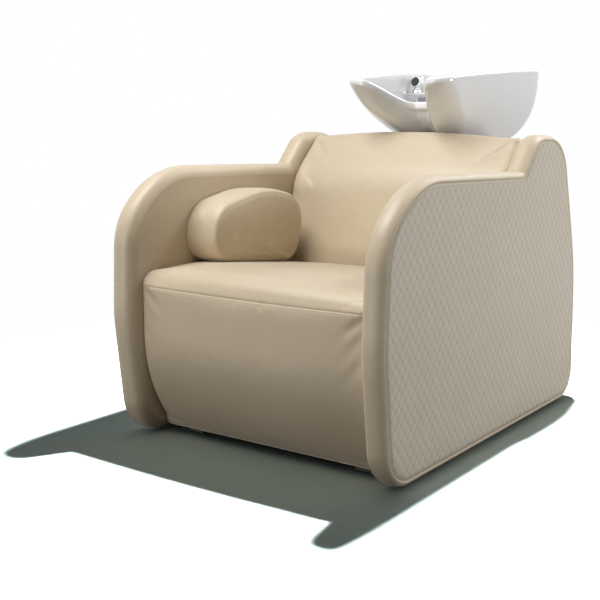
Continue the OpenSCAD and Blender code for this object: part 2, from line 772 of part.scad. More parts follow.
module rear_shelf() {
    x = inner_x - soft_gap;
    color(plywood) difference() {
        block([-x, shelf_y0, shelf_z - shelf_t], [x, rail_y1, shelf_z]);
        for (s = [-1, 1]) translate([s * column_x, column_y, 0])
            block([-column_w / 2 - column_gap, -column_w / 2 - column_gap, shelf_z - shelf_t - cut],
                  [column_w / 2 + column_gap, column_w / 2 + column_gap, shelf_z + cut]);
        block([slot_x0, slot_y0, shelf_z - shelf_t - cut], [slot_x1, rail_y1 - 12, shelf_z + cut]);
        rod_z([0, waste_hole_y, shelf_z - shelf_t - cut], waste_d + 16, shelf_t + 2 * cut);
        for (p = service_screw_spots)
            rod_y([p[0], rail_y1 - service_screw_l - cut, p[1]],
                  service_screw_d + bolt_play, service_screw_l + 2 * cut);
    }
}

module service_panel() {
    x = inner_x - soft_gap;
    color(vinyl) difference() {
        block([-x, rail_y1, floor_gap + 6], [x, rail_y1 + panel_t, shelf_z]);
        for (p = service_screw_spots)
            rod_y([p[0], rail_y1 - cut, p[1]], service_screw_d + bolt_play, panel_t + 2 * cut);
        rod_y([0, rail_y1 - cut, outlet_z], waste_d + 12, panel_t + 2 * cut);
        for (x = inlet_xs)
            rod_y([x, rail_y1 - cut, inlet_z], inlet_d + 10, panel_t + 2 * cut);
    }
}

// Length of a service screw behind the panel
service_screw_l = 25;
module service_screws() {
    r = service_screw_d + 0.5;
    color(zinc) for (p = service_screw_spots) {
        rod_y([p[0], rail_y1 - service_screw_l, p[1]], service_screw_d, panel_t + service_screw_l);
        translate([p[0], rail_y1 + panel_t, p[1]]) rotate([-90, 0, 0]) rotate_extrude()
            polygon([[0, 0], [r, 0], [r, 1], [r - 1.5, 2.6], [0, 2.6]]);
    }
}

// Basin carrier
ear_x = 80;
ear_t = 8;
washer_t = 2;
lug_t = 8;
// Thin lock nut inside each lug
tilt_nut_t = 8;
// Play between a lug and what lies beside it
side_play = 0.2;
lug_x = ear_x - washer_t - side_play - lug_t;
// Bracket plate: thickness, rear edge, and height of the web between its ears
bracket_t = 6;
bracket_y1 = column_y + 26;
web_h = 28;
cradle_t = 6;
cradle_pad_t = 4;
cradle_y0 = bowl_y0 + 6;
cradle_y1 = bowl_y1 - 10;
// Half width of the rubber pad between the cradle and the basin
cradle_pad_hw = 58;
cradle_top = basin_bottom_z - cradle_pad_t;

module basin_bracket() {
    z = column_top;
    color(steel) {
        difference() {
            block([-column_x - end_plate_hl, column_y - end_plate_hw, z],
                  [column_x + end_plate_hl, bracket_y1, z + bracket_t]);
            for (s = [-1, 1], dx = bracket_bolt_dx)
                rod_z([s * column_x + dx, column_y, z - cut],
                      bracket_bolt_d + bolt_play, bracket_t + 2 * cut);
        }
        for (s = [0, 1]) mirror([s, 0, 0]) difference() {
            union() {
                plate_x([[column_y - 20, z + bracket_t - cut], [bracket_y1, z + bracket_t - cut],
                         [tilt_y + 7, tilt_z - 16], [tilt_y - 8, tilt_z + 16], [column_y - 10, z + 32]],
                        ear_x, ear_t);
                rod_x([ear_x, tilt_y, tilt_z], tilt_bolt_d + 24, ear_t);
            }
            rod_x([ear_x - cut, tilt_y, tilt_z], tilt_bolt_d + 0.2, ear_t + 2 * cut);
        }
        block([-ear_x, bracket_y1 - 10, z + bracket_t - cut], [ear_x, bracket_y1 - 4, z + web_h]);
    }
}

module bracket_bolts() {
    nut = nut_h(bracket_bolt_d);
    color(zinc) for (s = [-1, 1], dx = bracket_bolt_dx) translate([s * column_x + dx, column_y, column_top]) {
        hex_head([0, 0, bracket_t], hex_across(bracket_bolt_d), head_h(bracket_bolt_d));
        rod_z([0, 0, -20], bracket_bolt_d, 20 + bracket_t + cut);
        difference() {
            hex_head([0, 0, -end_plate_t - nut], hex_across(bracket_bolt_d), nut);
            rod_z([0, 0, -end_plate_t - nut - cut], bracket_bolt_d + 0.2, nut + 2 * cut);
        }
    }
}

module basin_cradle() {
    low = cradle_top - cradle_t;
    color(zinc) {
        difference() {
            block([-lug_x - lug_t, cradle_y0, low], [lug_x + lug_t, cradle_y1, cradle_top]);
            rod_z([0, drain_y, low - cut], drain_d + 4, cradle_t + 2 * cut);
        }
        for (s = [0, 1]) mirror([s, 0, 0]) difference() {
            union() {
                plate_x([[tilt_y - 45, low + 1], [tilt_y - 14, tilt_z - 8], [tilt_y + 14, tilt_z - 8],
                         [tilt_y + 50, low + 1]], lug_x, lug_t);
                rod_x([lug_x, tilt_y, tilt_z], tilt_bolt_d + 20, lug_t);
            }
            rod_x([lug_x - cut, tilt_y, tilt_z], tilt_bolt_d + 2 * run_gap, lug_t + 2 * cut);
        }
    }
}

module cradle_pad() {
    color(rubber) difference() {
        block([-cradle_pad_hw, cradle_y0 + 4, cradle_top], [cradle_pad_hw, cradle_y1 - 4, basin_bottom_z]);
        rod_z([0, drain_y, cradle_top - cut], drain_d + 6, cradle_pad_t + 2 * cut);
    }
}

module tilt_bolts() {
    color(zinc) for (s = [0, 1]) mirror([s, 0, 0]) {
        rod_x([lug_x - tilt_nut_t - 2, tilt_y, tilt_z], tilt_bolt_d, ear_x + ear_t - lug_x + tilt_nut_t + 3);
        translate([ear_x + ear_t, tilt_y, tilt_z]) rotate([0, 90, 0])
            hex_head([0, 0, 0], hex_across(tilt_bolt_d), head_h(tilt_bolt_d));
    }
}

module tilt_washers() {
    color(rubber) for (s = [0, 1]) mirror([s, 0, 0]) difference() {
        rod_x([ear_x - washer_t, tilt_y, tilt_z], tilt_bolt_d + 18, washer_t);
        rod_x([ear_x - washer_t - cut, tilt_y, tilt_z], tilt_bolt_d + bolt_play, washer_t + 2 * cut);
    }
}

module tilt_nuts() {
    color(zinc) for (s = [0, 1]) mirror([s, 0, 0]) difference() {
        translate([lug_x - side_play - tilt_nut_t, tilt_y, tilt_z]) rotate([0, 90, 0])
            hex_head([0, 0, 0], hex_across(tilt_bolt_d), tilt_nut_t);
        rod_x([lug_x - tilt_nut_t - cut, tilt_y, tilt_z], tilt_bolt_d, tilt_nut_t + 2 * cut);
    }
}

// Waste
bowl_z = basin_bottom_z + bowl_floor;
gasket_t = 1.5;
flange_z = bowl_z + gasket_t;
body_d = drain_d - 4;
tail_z = tilt_z - 16;
waste_bore = waste_d - 6;
waste_nut_t = 12;
// Flange over the drain, and the cup in it that holds the strainer
flange_r = drain_d / 2 + 6;
cup_r = body_d / 2 - 3.9;
cup_h = 12;

module waste_body() {
    color(chrome) translate([0, drain_y, 0]) rotate_extrude() polygon([
        [waste_bore / 2, tail_z], [waste_d / 2, tail_z], [waste_d / 2, cradle_top - 20],
        [body_d / 2, cradle_top - 20], [body_d / 2, flange_z],
        [flange_r, flange_z], [flange_r, flange_z + 1.5], [flange_r - 3, flange_z + 3],
        [cup_r + 1.9, flange_z + 1], [cup_r, flange_z - 2], [cup_r, flange_z - cup_h],
        [waste_bore / 2, flange_z - cup_h]
    ]);
}

module waste_gasket() {
    color(rubber) translate([0, drain_y, bowl_z]) difference() {
        cylinder(r = flange_r - 1, h = gasket_t);
        translate([0, 0, -cut]) cylinder(d = body_d + bolt_play, h = gasket_t + 2 * cut);
    }
}

module waste_nut() {
    color(zinc) translate([0, drain_y, cradle_top - cradle_t - waste_nut_t]) difference() {
        hex_head([0, 0, 0], body_d + 14, waste_nut_t);
        translate([0, 0, -cut]) cylinder(d = body_d, h = waste_nut_t + 2 * cut);
    }
}

module waste_strainer() {
    z = flange_z - cup_h;
    r = cup_r - 0.2;
    color(chrome) translate([0, drain_y, 0]) difference() {
        rotate_extrude() polygon([
            [0, z], [r, z], [r, z + 2.5], [10, z + 4.5], [4, z + 5],
            [4, z + 12], [6, z + 14], [4, z + 16], [0, z + 16.5]
        ]);
        for (k = [0:7])
            rotate([0, 0, 45 * k]) rod_z([12.5, 0, z - cut], 5, 8);
    }
}

// Ribbed rubber boot round the tail, wide enough for the tail to swing in it
boot_h = 44;
module waste_boot() {
    z = tilt_z;
    r = waste_d / 2;
    color(rubber) translate([0, drain_y, 0]) rotate_extrude() polygon([
        [r + 4, z], [r + 4, z - boot_h / 2], [waste_bore / 2, z - boot_h + 10], [waste_bore / 2, z - boot_h],
        [r, z - boot_h], [r + 2, z - 36], [r + 8, z - 28], [r + 6, z - 20],
        [r + 9, z - 12], [r + 6, z - 5], [r + 7, z]
    ]);
}

// Ring of n points round p, square to direction t
function ring_at(p, t, r, n) =
    let (u = unit(cross(t, [0.02, 1, 0.03])), w = cross(t, u))
    [for (k = [0:n - 1]) p + r * (cos(360 * k / n) * u + sin(360 * k / n) * w)];

// Points of a smooth curve through a route, with m steps between two of its points
function flow(p, m) =
    let (n = len(p))
    [for (i = [0:n - 2], k = [0:m - 1])
        let (
            a = p[max(0, i - 1)], b = p[i], c = p[i + 1], d = p[min(n - 1, i + 2)], t = k / m
        )
        0.5 * (2 * b + (c - a) * t + (2 * a - 5 * b + 4 * c - d) * t * t
               + (3 * b - a - 3 * c + d) * t * t * t),
     p[n - 1]];

function tangent(p, i) = unit(p[min(len(p) - 1, i + 1)] - p[max(0, i - 1)]);
function rings_along(p, r, n) = [for (i = [0:len(p) - 1]) ring_at(p[i], tangent(p, i), r, n)];

// Hose along a route
module hose(route, d, steps, sides) {
    skin(rings_along(flow(route, steps), d / 2, sides));
}
// Hose with its bore
module bored_hose(route, d, bore, steps, sides) {
    p = flow(route, steps);
    inner = rings_along(p, bore / 2, sides);
    skin(concat(rings_along(p, d / 2, sides), [for (i = [len(inner) - 1:-1:0]) inner[i]]), true);
}

trap_y = 1000;
trap_d = 70;
trap_low = 130;
trap_high = 262;
// Top of the trap's neck, where the hose begins
neck_top = trap_high + 22;
clip_h = 20;
outlet_z = 225;
outlet_end = rail_y1 + panel_t + 40;
// Length of the plain ends where outside pipes go on
spigot_l = 36;
inlet_l = 30;
waste_route = [
    [0, drain_y, tilt_z - boot_h], [0, drain_y, 680], [0, drain_y - 9, 655], [0, drain_y - 34, 615],
    [0, 1034, 570],
    [0, 1022, 540], [0, 1008, 480], [0, 1001, 420], [0, trap_y, 370], [0, trap_y, 330], [0, trap_y, neck_top]
];

module waste_hose() {
    color(plastic) bored_hose(waste_route, waste_d, waste_bore, 1, 12);
}

module waste_trap() {
    color(plastic) difference() {
        union() {
            translate([0, trap_y, 0]) rotate_extrude() polygon([
                [0, trap_low], [trap_d / 2 - 8, trap_low], [trap_d / 2, trap_low + 8],
                [trap_d / 2, trap_low + 30],
                [trap_d / 2 + 4, trap_low + 30], [trap_d / 2 + 4, trap_low + 44], [trap_d / 2, trap_low + 44],
                [trap_d / 2, trap_high - 14], [waste_d / 2, trap_high], [waste_d / 2, neck_top], [0, neck_top]
            ]);
            rod_y([0, trap_y, outlet_z], waste_d - 2, outlet_end - trap_y);
            rod_y([0, outlet_end - spigot_l, outlet_z], waste_d, spigot_l);
        }
        rod_z([0, trap_y, trap_low + 5], trap_d - 8, outlet_z + 22 - trap_low - 5);
        rod_z([0, trap_y, outlet_z], waste_bore, neck_top + cut - outlet_z);
        rod_y([0, trap_y, outlet_z], waste_bore, outlet_end - trap_y + cut);
    }
}

module trap_clip() {
    z = trap_low + 50;
    color(zinc) difference() {
        union() {
            rod_z([0, trap_y, z], trap_d + 6, clip_h);
            block([-column_x + column_w / 2, trap_y + 6, z],
                  [column_x - column_w / 2, trap_y + 10, z + clip_h]);
        }
        rod_z([0, trap_y, z - cut], trap_d + bolt_play, clip_h + 2 * cut);
    }
}

// Mixer, seen from its own axis
cap_z = ledge_z + 28;
lever_z = cap_z + 9;
cap_gap = 0.3;
lever_w = 12;
lever_pin_d = 4;
// Play on each side of the lever in the cap's slot
run_side = 0.2;
module at_mixer() translate([mixer_x, mixer_y, 0]) children();

// Length of the threaded stem, and the lower end of the tails
stem_l = 34;
tail_low = ledge_z - 54;
module mixer_body() {
    z = ledge_z;
    r = mixer_d / 2;
    color(chrome) at_mixer() {
        rotate_extrude() polygon([
            [0, z], [r + 3, z], [r + 3, z + 2], [r, z + 4], [r - 2, cap_z - 3], [r - 4, cap_z], [0, cap_z]
        ]);
        rod_z([0, 0, z - stem_l], mixer_stem_d, stem_l + cut);
        for (p = mixer_tails) rod_z([p[0], p[1], tail_low], 9, z - stem_l - tail_low + cut);
    }
}
// Tails under the mixer: hot, cold, and mixed water for the shower
mixer_tails = [[0, 9], [9, -5], [-9, -5]];

mixer_nut_t = 10;
module mixer_nut() {
    color(zinc) at_mixer() difference() {
        hex_head([0, 0, ledge_z - ledge_t - mixer_nut_t], mixer_stem_d + 12, mixer_nut_t);
        rod_z([0, 0, ledge_z - ledge_t - mixer_nut_t - cut], mixer_stem_d, mixer_nut_t + 2 * cut);
    }
}

module mixer_cap() {
    r = mixer_d / 2 - 2;
    color(chrome) at_mixer() difference() {
        rotate_extrude() polygon([
            [0, cap_z + cap_gap], [r, cap_z + cap_gap], [r, cap_z + 12], [r - 4, cap_z + 16], [0, cap_z + 18]
        ]);
        block([-lever_w / 2 - run_side, -mixer_d, cap_z + 3.5], [lever_w / 2 + run_side, 6, cap_z + 30]);
        rod_x([-r - cut, 0, lever_z], lever_pin_d, 2 * r + 2 * cut);
    }
}

module lever_pin() {
    color(steel) at_mixer() rod_x([-mixer_d / 2 + 5, 0, lever_z], lever_pin_d, mixer_d - 10);
}

module mixer_lever() {
    w = lever_w / 2;
    color(chrome) at_mixer() difference() {
        union() {
            rod_x([-w, 0, lever_z], lever_pin_d + 6, lever_w);
            translate([0, 0, lever_z - 3]) linear_extrude(6) polygon([
                [-w, 0], [-w, -24], [-w - 2, -58], [-w + 1, -66], [w - 1, -66], [w + 2, -58], [w, -24], [w, 0]
            ]);
        }
        rod_x([-w - cut, 0, lever_z], lever_pin_d + 2 * run_gap, lever_w + 2 * cut);
    }
}

// Hand shower in its collar
head_z = ledge_z + 36;
handle_low = ledge_z - 26;
module at_shower() translate([shower_x, shower_y, 0]) children();

module shower_collar() {
    z = ledge_z;
    r = collar_d / 2;
    bore = handle_d / 2 + 0.2;
    color(chrome) at_shower() rotate_extrude() polygon([
        [bore, z - 30], [r, z - 30], [r, z], [r + 5, z],
        [r + 4, z + 3], [r, z + 9], [bore + 1, z + 9], [bore, z + 8]
    ]);
}

shower_nut_t = 8;
module shower_nut() {
    color(zinc) at_shower() difference() {
        rod_z([0, 0, ledge_z - ledge_t - shower_nut_t], collar_d + 4, shower_nut_t);
        rod_z([0, 0, ledge_z - ledge_t - shower_nut_t - cut], collar_d, shower_nut_t + 2 * cut);
    }
}

// The head faces forwards and a little upwards
head_turn = 78;
face_d = head_d - 8;
module at_head() at_shower() translate([0, -4, head_z]) rotate([head_turn, 0, 0]) children();

module hand_shower() {
    r = head_d / 2;
    grip = handle_d / 2;
    color(chrome) difference() {
        union() {
            at_shower() rotate_extrude() polygon([
                [0, handle_low], [grip - 1, handle_low], [grip, handle_low + 2], [grip, ledge_z + 12],
                [grip - 3, ledge_z + 24], [grip - 4, head_z], [0, head_z]
            ]);
            at_head() rotate_extrude() polygon([
                [0, -12], [r - 9, -11], [r - 3, -7], [r, -1], [r, 6], [r - 1, 8], [0, 8]
            ]);
        }
        at_head() rod_z([0, 0, 5], face_d, 10);
        at_shower() rod_z([0, 0, handle_low - cut], 10, 16 + cut);
    }
}

module shower_face() {
    color(rubber) at_head() {
        rod_z([0, 0, 5], face_d - 0.4, 3.5);
        for (ring = [[0, 1], [5, 6], [10, 12]], k = [0:ring[1] - 1])
            rotate([0, 0, 360 * k / ring[1]]) rod_z([ring[0], 0, 8], 2, 1.6);
    }
}

top_hose_low = ledge_z - 48;
module shower_hose_top() {
    color(chrome) at_shower() rod_z([0, 0, top_hose_low], hose_d, handle_low - top_hose_low);
}

// The hose leaves the handle, hangs in a loop below the shelf and rises to the mixer
function below_tail(k) = [for (z = [tail_low - soft_gap, tail_low - 12, tail_low - 24])
    [mixer_x + mixer_tails[k][0], mixer_y + mixer_tails[k][1], z]];
shower_route = concat([
    [shower_x, shower_y, top_hose_low - soft_gap], [shower_x, shower_y, top_hose_low - 5],
    [shower_x, shower_y, 897], [-178, 1211, 886], [-163, 1209, 866],
    [-144, 1208, 847], [-122, 1208, 830], [-103, 1207, 808], [-96, 1203, 778], [-92, 1186, 738],
    [-97, 1150, 690], [-106, 1108, 640],
    [-112, 1076, 590], [-114, 1064, 545], [-114, 1064, 470], [-110, 1064, 390], [-88, 1064, 325],
    [-46, 1064, 292],
    [-8, 1064, 292], [28, 1064, 325], [44, 1064, 390], [46, 1064, 470], [48, 1064, 545], [54, 1078, 590],
    [62, 1112, 640], [70, 1156, 700], [75, 1186, 740], [78, 1204, 776], [78, 1208, 804], [80, 1222, 840]
], [for (k = [2, 1, 0]) below_tail(2)[k]]);
module shower_hose() {
    color(chrome) hose(shower_route, hose_d, 2, 8);
}

inlet_xs = [92, 152];
inlet_z = 100;
inlet_y = 1064;
// Height of the elbow's hose end over its middle, and the plain neck behind the thread
inlet_rise = 36;
neck_d = inlet_d - 0.8;
hot_route = concat(below_tail(0), [
    [94, 1238, 850], [92, 1215, 822], [91.5, 1209, 800], [91.5, 1204, 775], [92, 1190, 742], [93, 1168, 690],
    [93, 1118, 635], [92, 1078, 585], [92, 1064, 545], [92, 1064, 470], [92, 1064, 400], [92, 1064, 320],
    [92, 1064, 240], [92, 1064, 180], [inlet_xs[0], inlet_y, inlet_z + inlet_rise]
]);
cold_route = concat(below_tail(1), [
    [107, 1228, 850], [106, 1213, 823], [105, 1208, 802], [105.5, 1204, 775], [109, 1188, 740],
    [116, 1160, 700], [130, 1112, 640], [142, 1076, 588], [150, 1064, 545], [152, 1064, 470],
    [152, 1064, 400], [152, 1064, 320],
    [152, 1064, 240], [152, 1064, 180], [inlet_xs[1], inlet_y, inlet_z + inlet_rise]
]);
module hot_hose() {
    color(zinc) hose(hot_route, hose_d, 2, 8);
}
module cold_hose() {
    color(zinc) hose(cold_route, hose_d, 2, 8);
}

module water_inlets() {
    color(zinc) for (x = inlet_xs) {
        rod_z([x, inlet_y, inlet_z], hose_d + 4, inlet_rise);
        translate([x, inlet_y, inlet_z]) sphere(d = inlet_d + 3.2);
        rod_y([x, inlet_y, inlet_z], neck_d, outlet_end - inlet_y);
        rod_y([x, outlet_end - inlet_l, inlet_z], inlet_d, inlet_l);
        translate([x, inlet_y + 12, inlet_z]) rotate([-90, 0, 0]) hex_head([0, 0, 0], inlet_d + 6.2, 8);
    }
}

plate_t = 4;
module inlet_plate() {
    y = inlet_y + 20;
    color(zinc) difference() {
        block([inlet_xs[0] - 32, y, frame_top], [inlet_xs[1] + 32, y + plate_t, inlet_z + 28]);
        for (x = inlet_xs) rod_y([x, y - cut, inlet_z], neck_d + bolt_play, plate_t + 2 * cut);
    }
}

place() frame_rails();
place() cross_tubes();
place() basin_columns();
place() back_struts();
place() floor_glides();
place() seat_box();
place() seat_board();
place() seat_cushion();
place() back_board();
place() back_cushion();
place() back_bolts();
place() back_cover();
place() rear_shelf();
place() service_panel();
place() service_screws();
place() mirror([1, 0, 0]) side_board();  // side_board_left
place() side_board();  // side_board_right
place() mirror([1, 0, 0]) side_pad();  // side_pad_left
place() side_pad();  // side_pad_right
place() mirror([1, 0, 0]) side_quilt();  // side_quilt_left
place() side_quilt();  // side_quilt_right
place() side_bolts();
place() mirror([1, 0, 0]) arm_board();  // arm_board_left
place() arm_board();  // arm_board_right
place() mirror([1, 0, 0]) arm_pad();  // arm_pad_left
place() arm_pad();  // arm_pad_right
place() arm_screws();
place() basin_bracket();
place() bracket_bolts();
place() tilt_bolts();
place() tilt_washers();
place() tilt_nuts();
place() basin_cradle();
place() cradle_pad();
place() basin();
place() waste_body();
place() waste_gasket();
place() waste_nut();
place() waste_strainer();
place() waste_boot();
place() waste_hose();
place() waste_trap();
place() trap_clip();
place() mixer_body();
place() mixer_nut();
place() mixer_cap();
place() lever_pin();
place() mixer_lever();
place() shower_collar();
place() shower_nut();
place() hand_shower();
place() shower_face();
place() shower_hose_top();
place() shower_hose();
place() hot_hose();
place() cold_hose();
place() water_inlets();
place() inlet_plate();
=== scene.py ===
"""Looks of the salon wash unit: an upholstered armchair with a tilting ceramic basin behind its back.

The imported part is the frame. Sizes here are in millimetres, as in the part's own drawing, with Y
measured from the front of the side panels. to_frame() brings them to metres in the shared frame.
"""

import json
import logging
import math
from contextlib import contextmanager
from dataclasses import dataclass, field
from enum import Enum
from typing import Callable, Iterator, Sequence

import bmesh
import bpy
import numpy as np
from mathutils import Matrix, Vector, kdtree, noise

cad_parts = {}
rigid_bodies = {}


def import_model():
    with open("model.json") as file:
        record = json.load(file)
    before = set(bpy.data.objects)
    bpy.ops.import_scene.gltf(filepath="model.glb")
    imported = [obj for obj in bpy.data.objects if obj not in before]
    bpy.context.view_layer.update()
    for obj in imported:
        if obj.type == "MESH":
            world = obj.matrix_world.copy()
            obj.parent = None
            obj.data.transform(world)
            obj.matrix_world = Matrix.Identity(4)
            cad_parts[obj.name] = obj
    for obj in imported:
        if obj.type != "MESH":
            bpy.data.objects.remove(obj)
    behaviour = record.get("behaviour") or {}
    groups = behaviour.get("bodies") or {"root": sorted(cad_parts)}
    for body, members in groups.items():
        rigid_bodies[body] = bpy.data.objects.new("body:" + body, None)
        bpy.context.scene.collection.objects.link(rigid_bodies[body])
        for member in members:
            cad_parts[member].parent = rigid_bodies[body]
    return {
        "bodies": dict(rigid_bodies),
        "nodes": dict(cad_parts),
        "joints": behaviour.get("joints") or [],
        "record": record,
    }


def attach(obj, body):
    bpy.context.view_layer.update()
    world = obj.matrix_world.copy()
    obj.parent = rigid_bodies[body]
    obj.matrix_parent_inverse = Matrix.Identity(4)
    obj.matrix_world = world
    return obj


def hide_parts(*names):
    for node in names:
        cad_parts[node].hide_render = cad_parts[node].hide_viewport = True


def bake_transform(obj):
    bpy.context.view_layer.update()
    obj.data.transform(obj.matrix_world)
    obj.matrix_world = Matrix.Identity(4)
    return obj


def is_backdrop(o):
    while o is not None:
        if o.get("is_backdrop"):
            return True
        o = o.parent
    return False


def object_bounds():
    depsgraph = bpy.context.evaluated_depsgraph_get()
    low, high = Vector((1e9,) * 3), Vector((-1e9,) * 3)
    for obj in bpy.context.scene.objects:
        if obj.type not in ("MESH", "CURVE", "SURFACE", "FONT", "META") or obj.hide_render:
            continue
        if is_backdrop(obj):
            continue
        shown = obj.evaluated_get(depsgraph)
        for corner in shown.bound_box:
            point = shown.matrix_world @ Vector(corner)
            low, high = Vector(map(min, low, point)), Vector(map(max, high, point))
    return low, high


LOG = logging.getLogger("wash_unit")
MM = 0.001
UNIT_DEPTH = 1335.0
ORIGIN = np.array([0.0, UNIT_DEPTH / 2, 0.0])  # the shared frame's origin in the drawing
CLOTH_FRAMES = 20

Array = np.ndarray
Piece = bpy.types.Object
Material = bpy.types.Material
NodeTree = bpy.types.NodeTree
Node = bpy.types.Node
Socket = bpy.types.NodeSocket
Corner = tuple[float, float, float]
Colour = tuple[float, float, float]
Swell = tuple[float, float, float]  # height, wave length and seed


class Side(Enum):
    """The side of the unit that a piece is on, seen from the front."""

    LEFT = -1
    RIGHT = 1

    @property
    def word(self) -> str:
        """The side's name as it stands in the names of the pieces."""
        return self.name.lower()


class Slot(Enum):
    """The record's material slots."""

    VINYL = "vinyl"
    QUILT = "quilted_vinyl"
    PLYWOOD = "plywood"
    STEEL = "frame_steel"
    ZINC = "zinc"
    CERAMIC = "ceramic"
    CHROME = "chrome"
    RUBBER = "rubber"
    PLASTIC = "white_plastic"
    BRAID = "hose_braid"


# Plain geometry


def to_frame(points: Array) -> Array:
    """Brings places from the drawing's millimetres to metres in the shared frame."""
    return (np.asarray(points, float) - ORIGIN) * MM


def unit(vector: Array) -> Array:
    """The vector at length one."""
    return vector / np.linalg.norm(vector)


def smooth(share: Array | float) -> Array | float:
    """A soft step from 0 to 1."""
    held = np.clip(share, 0.0, 1.0)
    return held * held * (3 - 2 * held)


def rounded(corners: Sequence[Corner], step: float = 0.6) -> Array:
    """Rounds the corners of a closed outline.

    Args:
        corners: Each corner's y, z and radius, anticlockwise. A radius of 0 stays sharp.
        step: Angle between two points of a rounded corner, in degrees.

    Returns:
        The outline's points, as [y, z].
    """
    points: list[Array] = []
    for index, (y, z, radius) in enumerate(corners):
        corner = np.array([y, z])
        if radius == 0:
            points.append(corner)
            continue
        before = np.array(corners[index - 1][:2])
        after = np.array(corners[(index + 1) % len(corners)][:2])
        u, v = unit(before - corner), unit(after - corner)
        half = math.acos(float(u @ v)) / 2
        centre = corner + unit(u + v) * radius / math.sin(half)
        start = corner + u * radius / math.tan(half) - centre
        end = corner + v * radius / math.tan(half) - centre
        first = math.atan2(start[1], start[0])
        sweep = (math.atan2(end[1], end[0]) - first + math.pi) % math.tau - math.pi
        count = max(2, math.ceil(abs(math.degrees(sweep)) / step))
        for k in range(count + 1):
            angle = first + sweep * k / count
            points.append(centre + radius * np.array([math.cos(angle), math.sin(angle)]))
    return np.array(points)


def reach_along(points: Array) -> Array:
    """Distance along a line of points, from its first one to each."""
    steps = np.linalg.norm(np.diff(points, axis=0), axis=1)
    return np.concatenate([[0.0], np.cumsum(steps)])


def read_at(points: Array, reach: Array, at: Array) -> Array:
    """Reads a line of points at distances along it, where reach is the distance to each point."""
    return np.column_stack([np.interp(at, reach, points[:, k]) for k in range(points.shape[1])])


def spaced(outline: Array, spacing: float, keep: Sequence[tuple[float, float]] = ()) -> Array:
    """Spaces the points of a closed outline evenly.

    Args:
        outline: The outline's points.
        spacing: Distance between two of the new points.
        keep: Sharp corners that the new points must hit.

    Returns:
        The new points.
    """
    closed = np.vstack([outline, outline[:1]])
    reach = reach_along(closed)
    count = round(reach[-1] / spacing)
    points = read_at(closed, reach, np.arange(count) * reach[-1] / count)
    for place in keep:
        points[np.argmin(np.linalg.norm(points - np.array(place), axis=1))] = place
    return points


def grown(outline: Array, by: Array | float) -> Array:
    """Moves a closed anticlockwise outline outwards.

    Args:
        outline: Points as [y, z].
        by: Distance, for all points or for each.

    Returns:
        The moved points.
    """
    run = np.roll(outline, -1, axis=0) - np.roll(outline, 1, axis=0)
    run = run / np.linalg.norm(run, axis=1, keepdims=True)
    out = np.column_stack([run[:, 1], -run[:, 0]])
    return outline + out * np.reshape(by, (-1, 1))


def at_x(x: float, outline: Array) -> Array:
    """Puts an outline of y and z at one place across the unit."""
    return np.column_stack([np.full(len(outline), x), outline])


def inside(points: Array, outline: Array) -> Array:
    """Tells which points lie within a closed outline.

    Args:
        points: Points as [y, z].
        outline: The outline's points.

    Returns:
        One truth value for each point.
    """
    found = np.zeros(len(points), bool)
    for a, b in zip(outline, np.roll(outline, -1, axis=0)):
        if a[1] == b[1]:
            continue
        between = (a[1] > points[:, 1]) != (b[1] > points[:, 1])
        at = a[0] + (points[:, 1] - a[1]) * (b[0] - a[0]) / (b[1] - a[1])
        found ^= between & (points[:, 0] < at)
    return found


def steps_of(count: int, step: float) -> Array:
    """Numbers from the first of a row of points to its last, whole and part."""
    return np.arange(0, count - 1 + 1e-9, step)


def curved(points: Array, at: Array, closed: bool = False) -> Array:
    """Reads a smooth curve through points, or a row of rings, at whole and part numbers.

    Args:
        points: The points along the first axis.
        at: Numbers of the places to read, where 1.5 lies between points 1 and 2.
        closed: Whether the last point is followed by the first.

    Returns:
        What the curve has at each place.
    """
    count = len(points)
    low = np.floor(at).astype(int)
    if not closed:
        low = np.minimum(low, count - 2)
    t = np.reshape(at - low, (-1,) + (1,) * (points.ndim - 1))
    around = [low + k for k in (-1, 0, 1, 2)]
    a, b, c, d = (points[k % count if closed else np.clip(k, 0, count - 1)] for k in around)
    return 0.5 * (
        2 * b + (c - a) * t + (2 * a - 5 * b + 4 * c - d) * t**2 + (3 * b - a - 3 * c + d) * t**3
    )


def soft_noise(points: Array, wave: float, seed: float) -> Array:
    """Slow random swell, from about -1 to 1, that is the same in each run."""
    values = [noise.noise(Vector(p)) for p in points.reshape(-1, 3) / wave + seed]
    return np.array(values).reshape(points.shape[:-1])


def swollen(points: Array, swells: Sequence[Swell]) -> Array:
    """Height of several slow swells together at each place."""
    return sum(height * soft_noise(points, wave, seed) for height, wave, seed in swells)


def near(distance: Array, width: float) -> Array:
    """Falls softly from 1 on a line to 0 away from it."""
    return np.exp(-((distance / width) ** 2))


@dataclass(frozen=True)
class SewnLine:
    """The relief along a sewn line: a narrow channel, with puckers that fade away from it.

    Attributes:
        depth: Depth of the channel.
        width: Width of the channel.
        pucker: Height of the puckers.
        pitch: Distance from one pucker to the next.
        drift: How far they wander from an even pitch, in radians.
        drift_wave: Length over which they wander.
        spread: How far from the line they reach.
        ripple: Height of the small ripples on them, as a share of theirs.
        ripple_pitch: Distance from one ripple to the next.
    """

    depth: float
    width: float
    pucker: float
    pitch: float
    drift: float
    drift_wave: float
    spread: float
    ripple: float = 0.0
    ripple_pitch: float = 7.3

    def relief(self, distance: Array, along: Array) -> Array:
        """Height of the cover beside the line.

        Args:
            distance: Distance from the line.
            along: Distance along it.

        Returns:
            The height at each place, below 0 in the channel.
        """
        wave = np.sin(math.tau * along / self.pitch + self.drift * np.sin(along / self.drift_wave))
        wave = wave + self.ripple * np.sin(math.tau * along / self.ripple_pitch)
        return self.pucker * wave * near(distance, self.spread) - self.depth * near(distance, self.width)


# Meshes


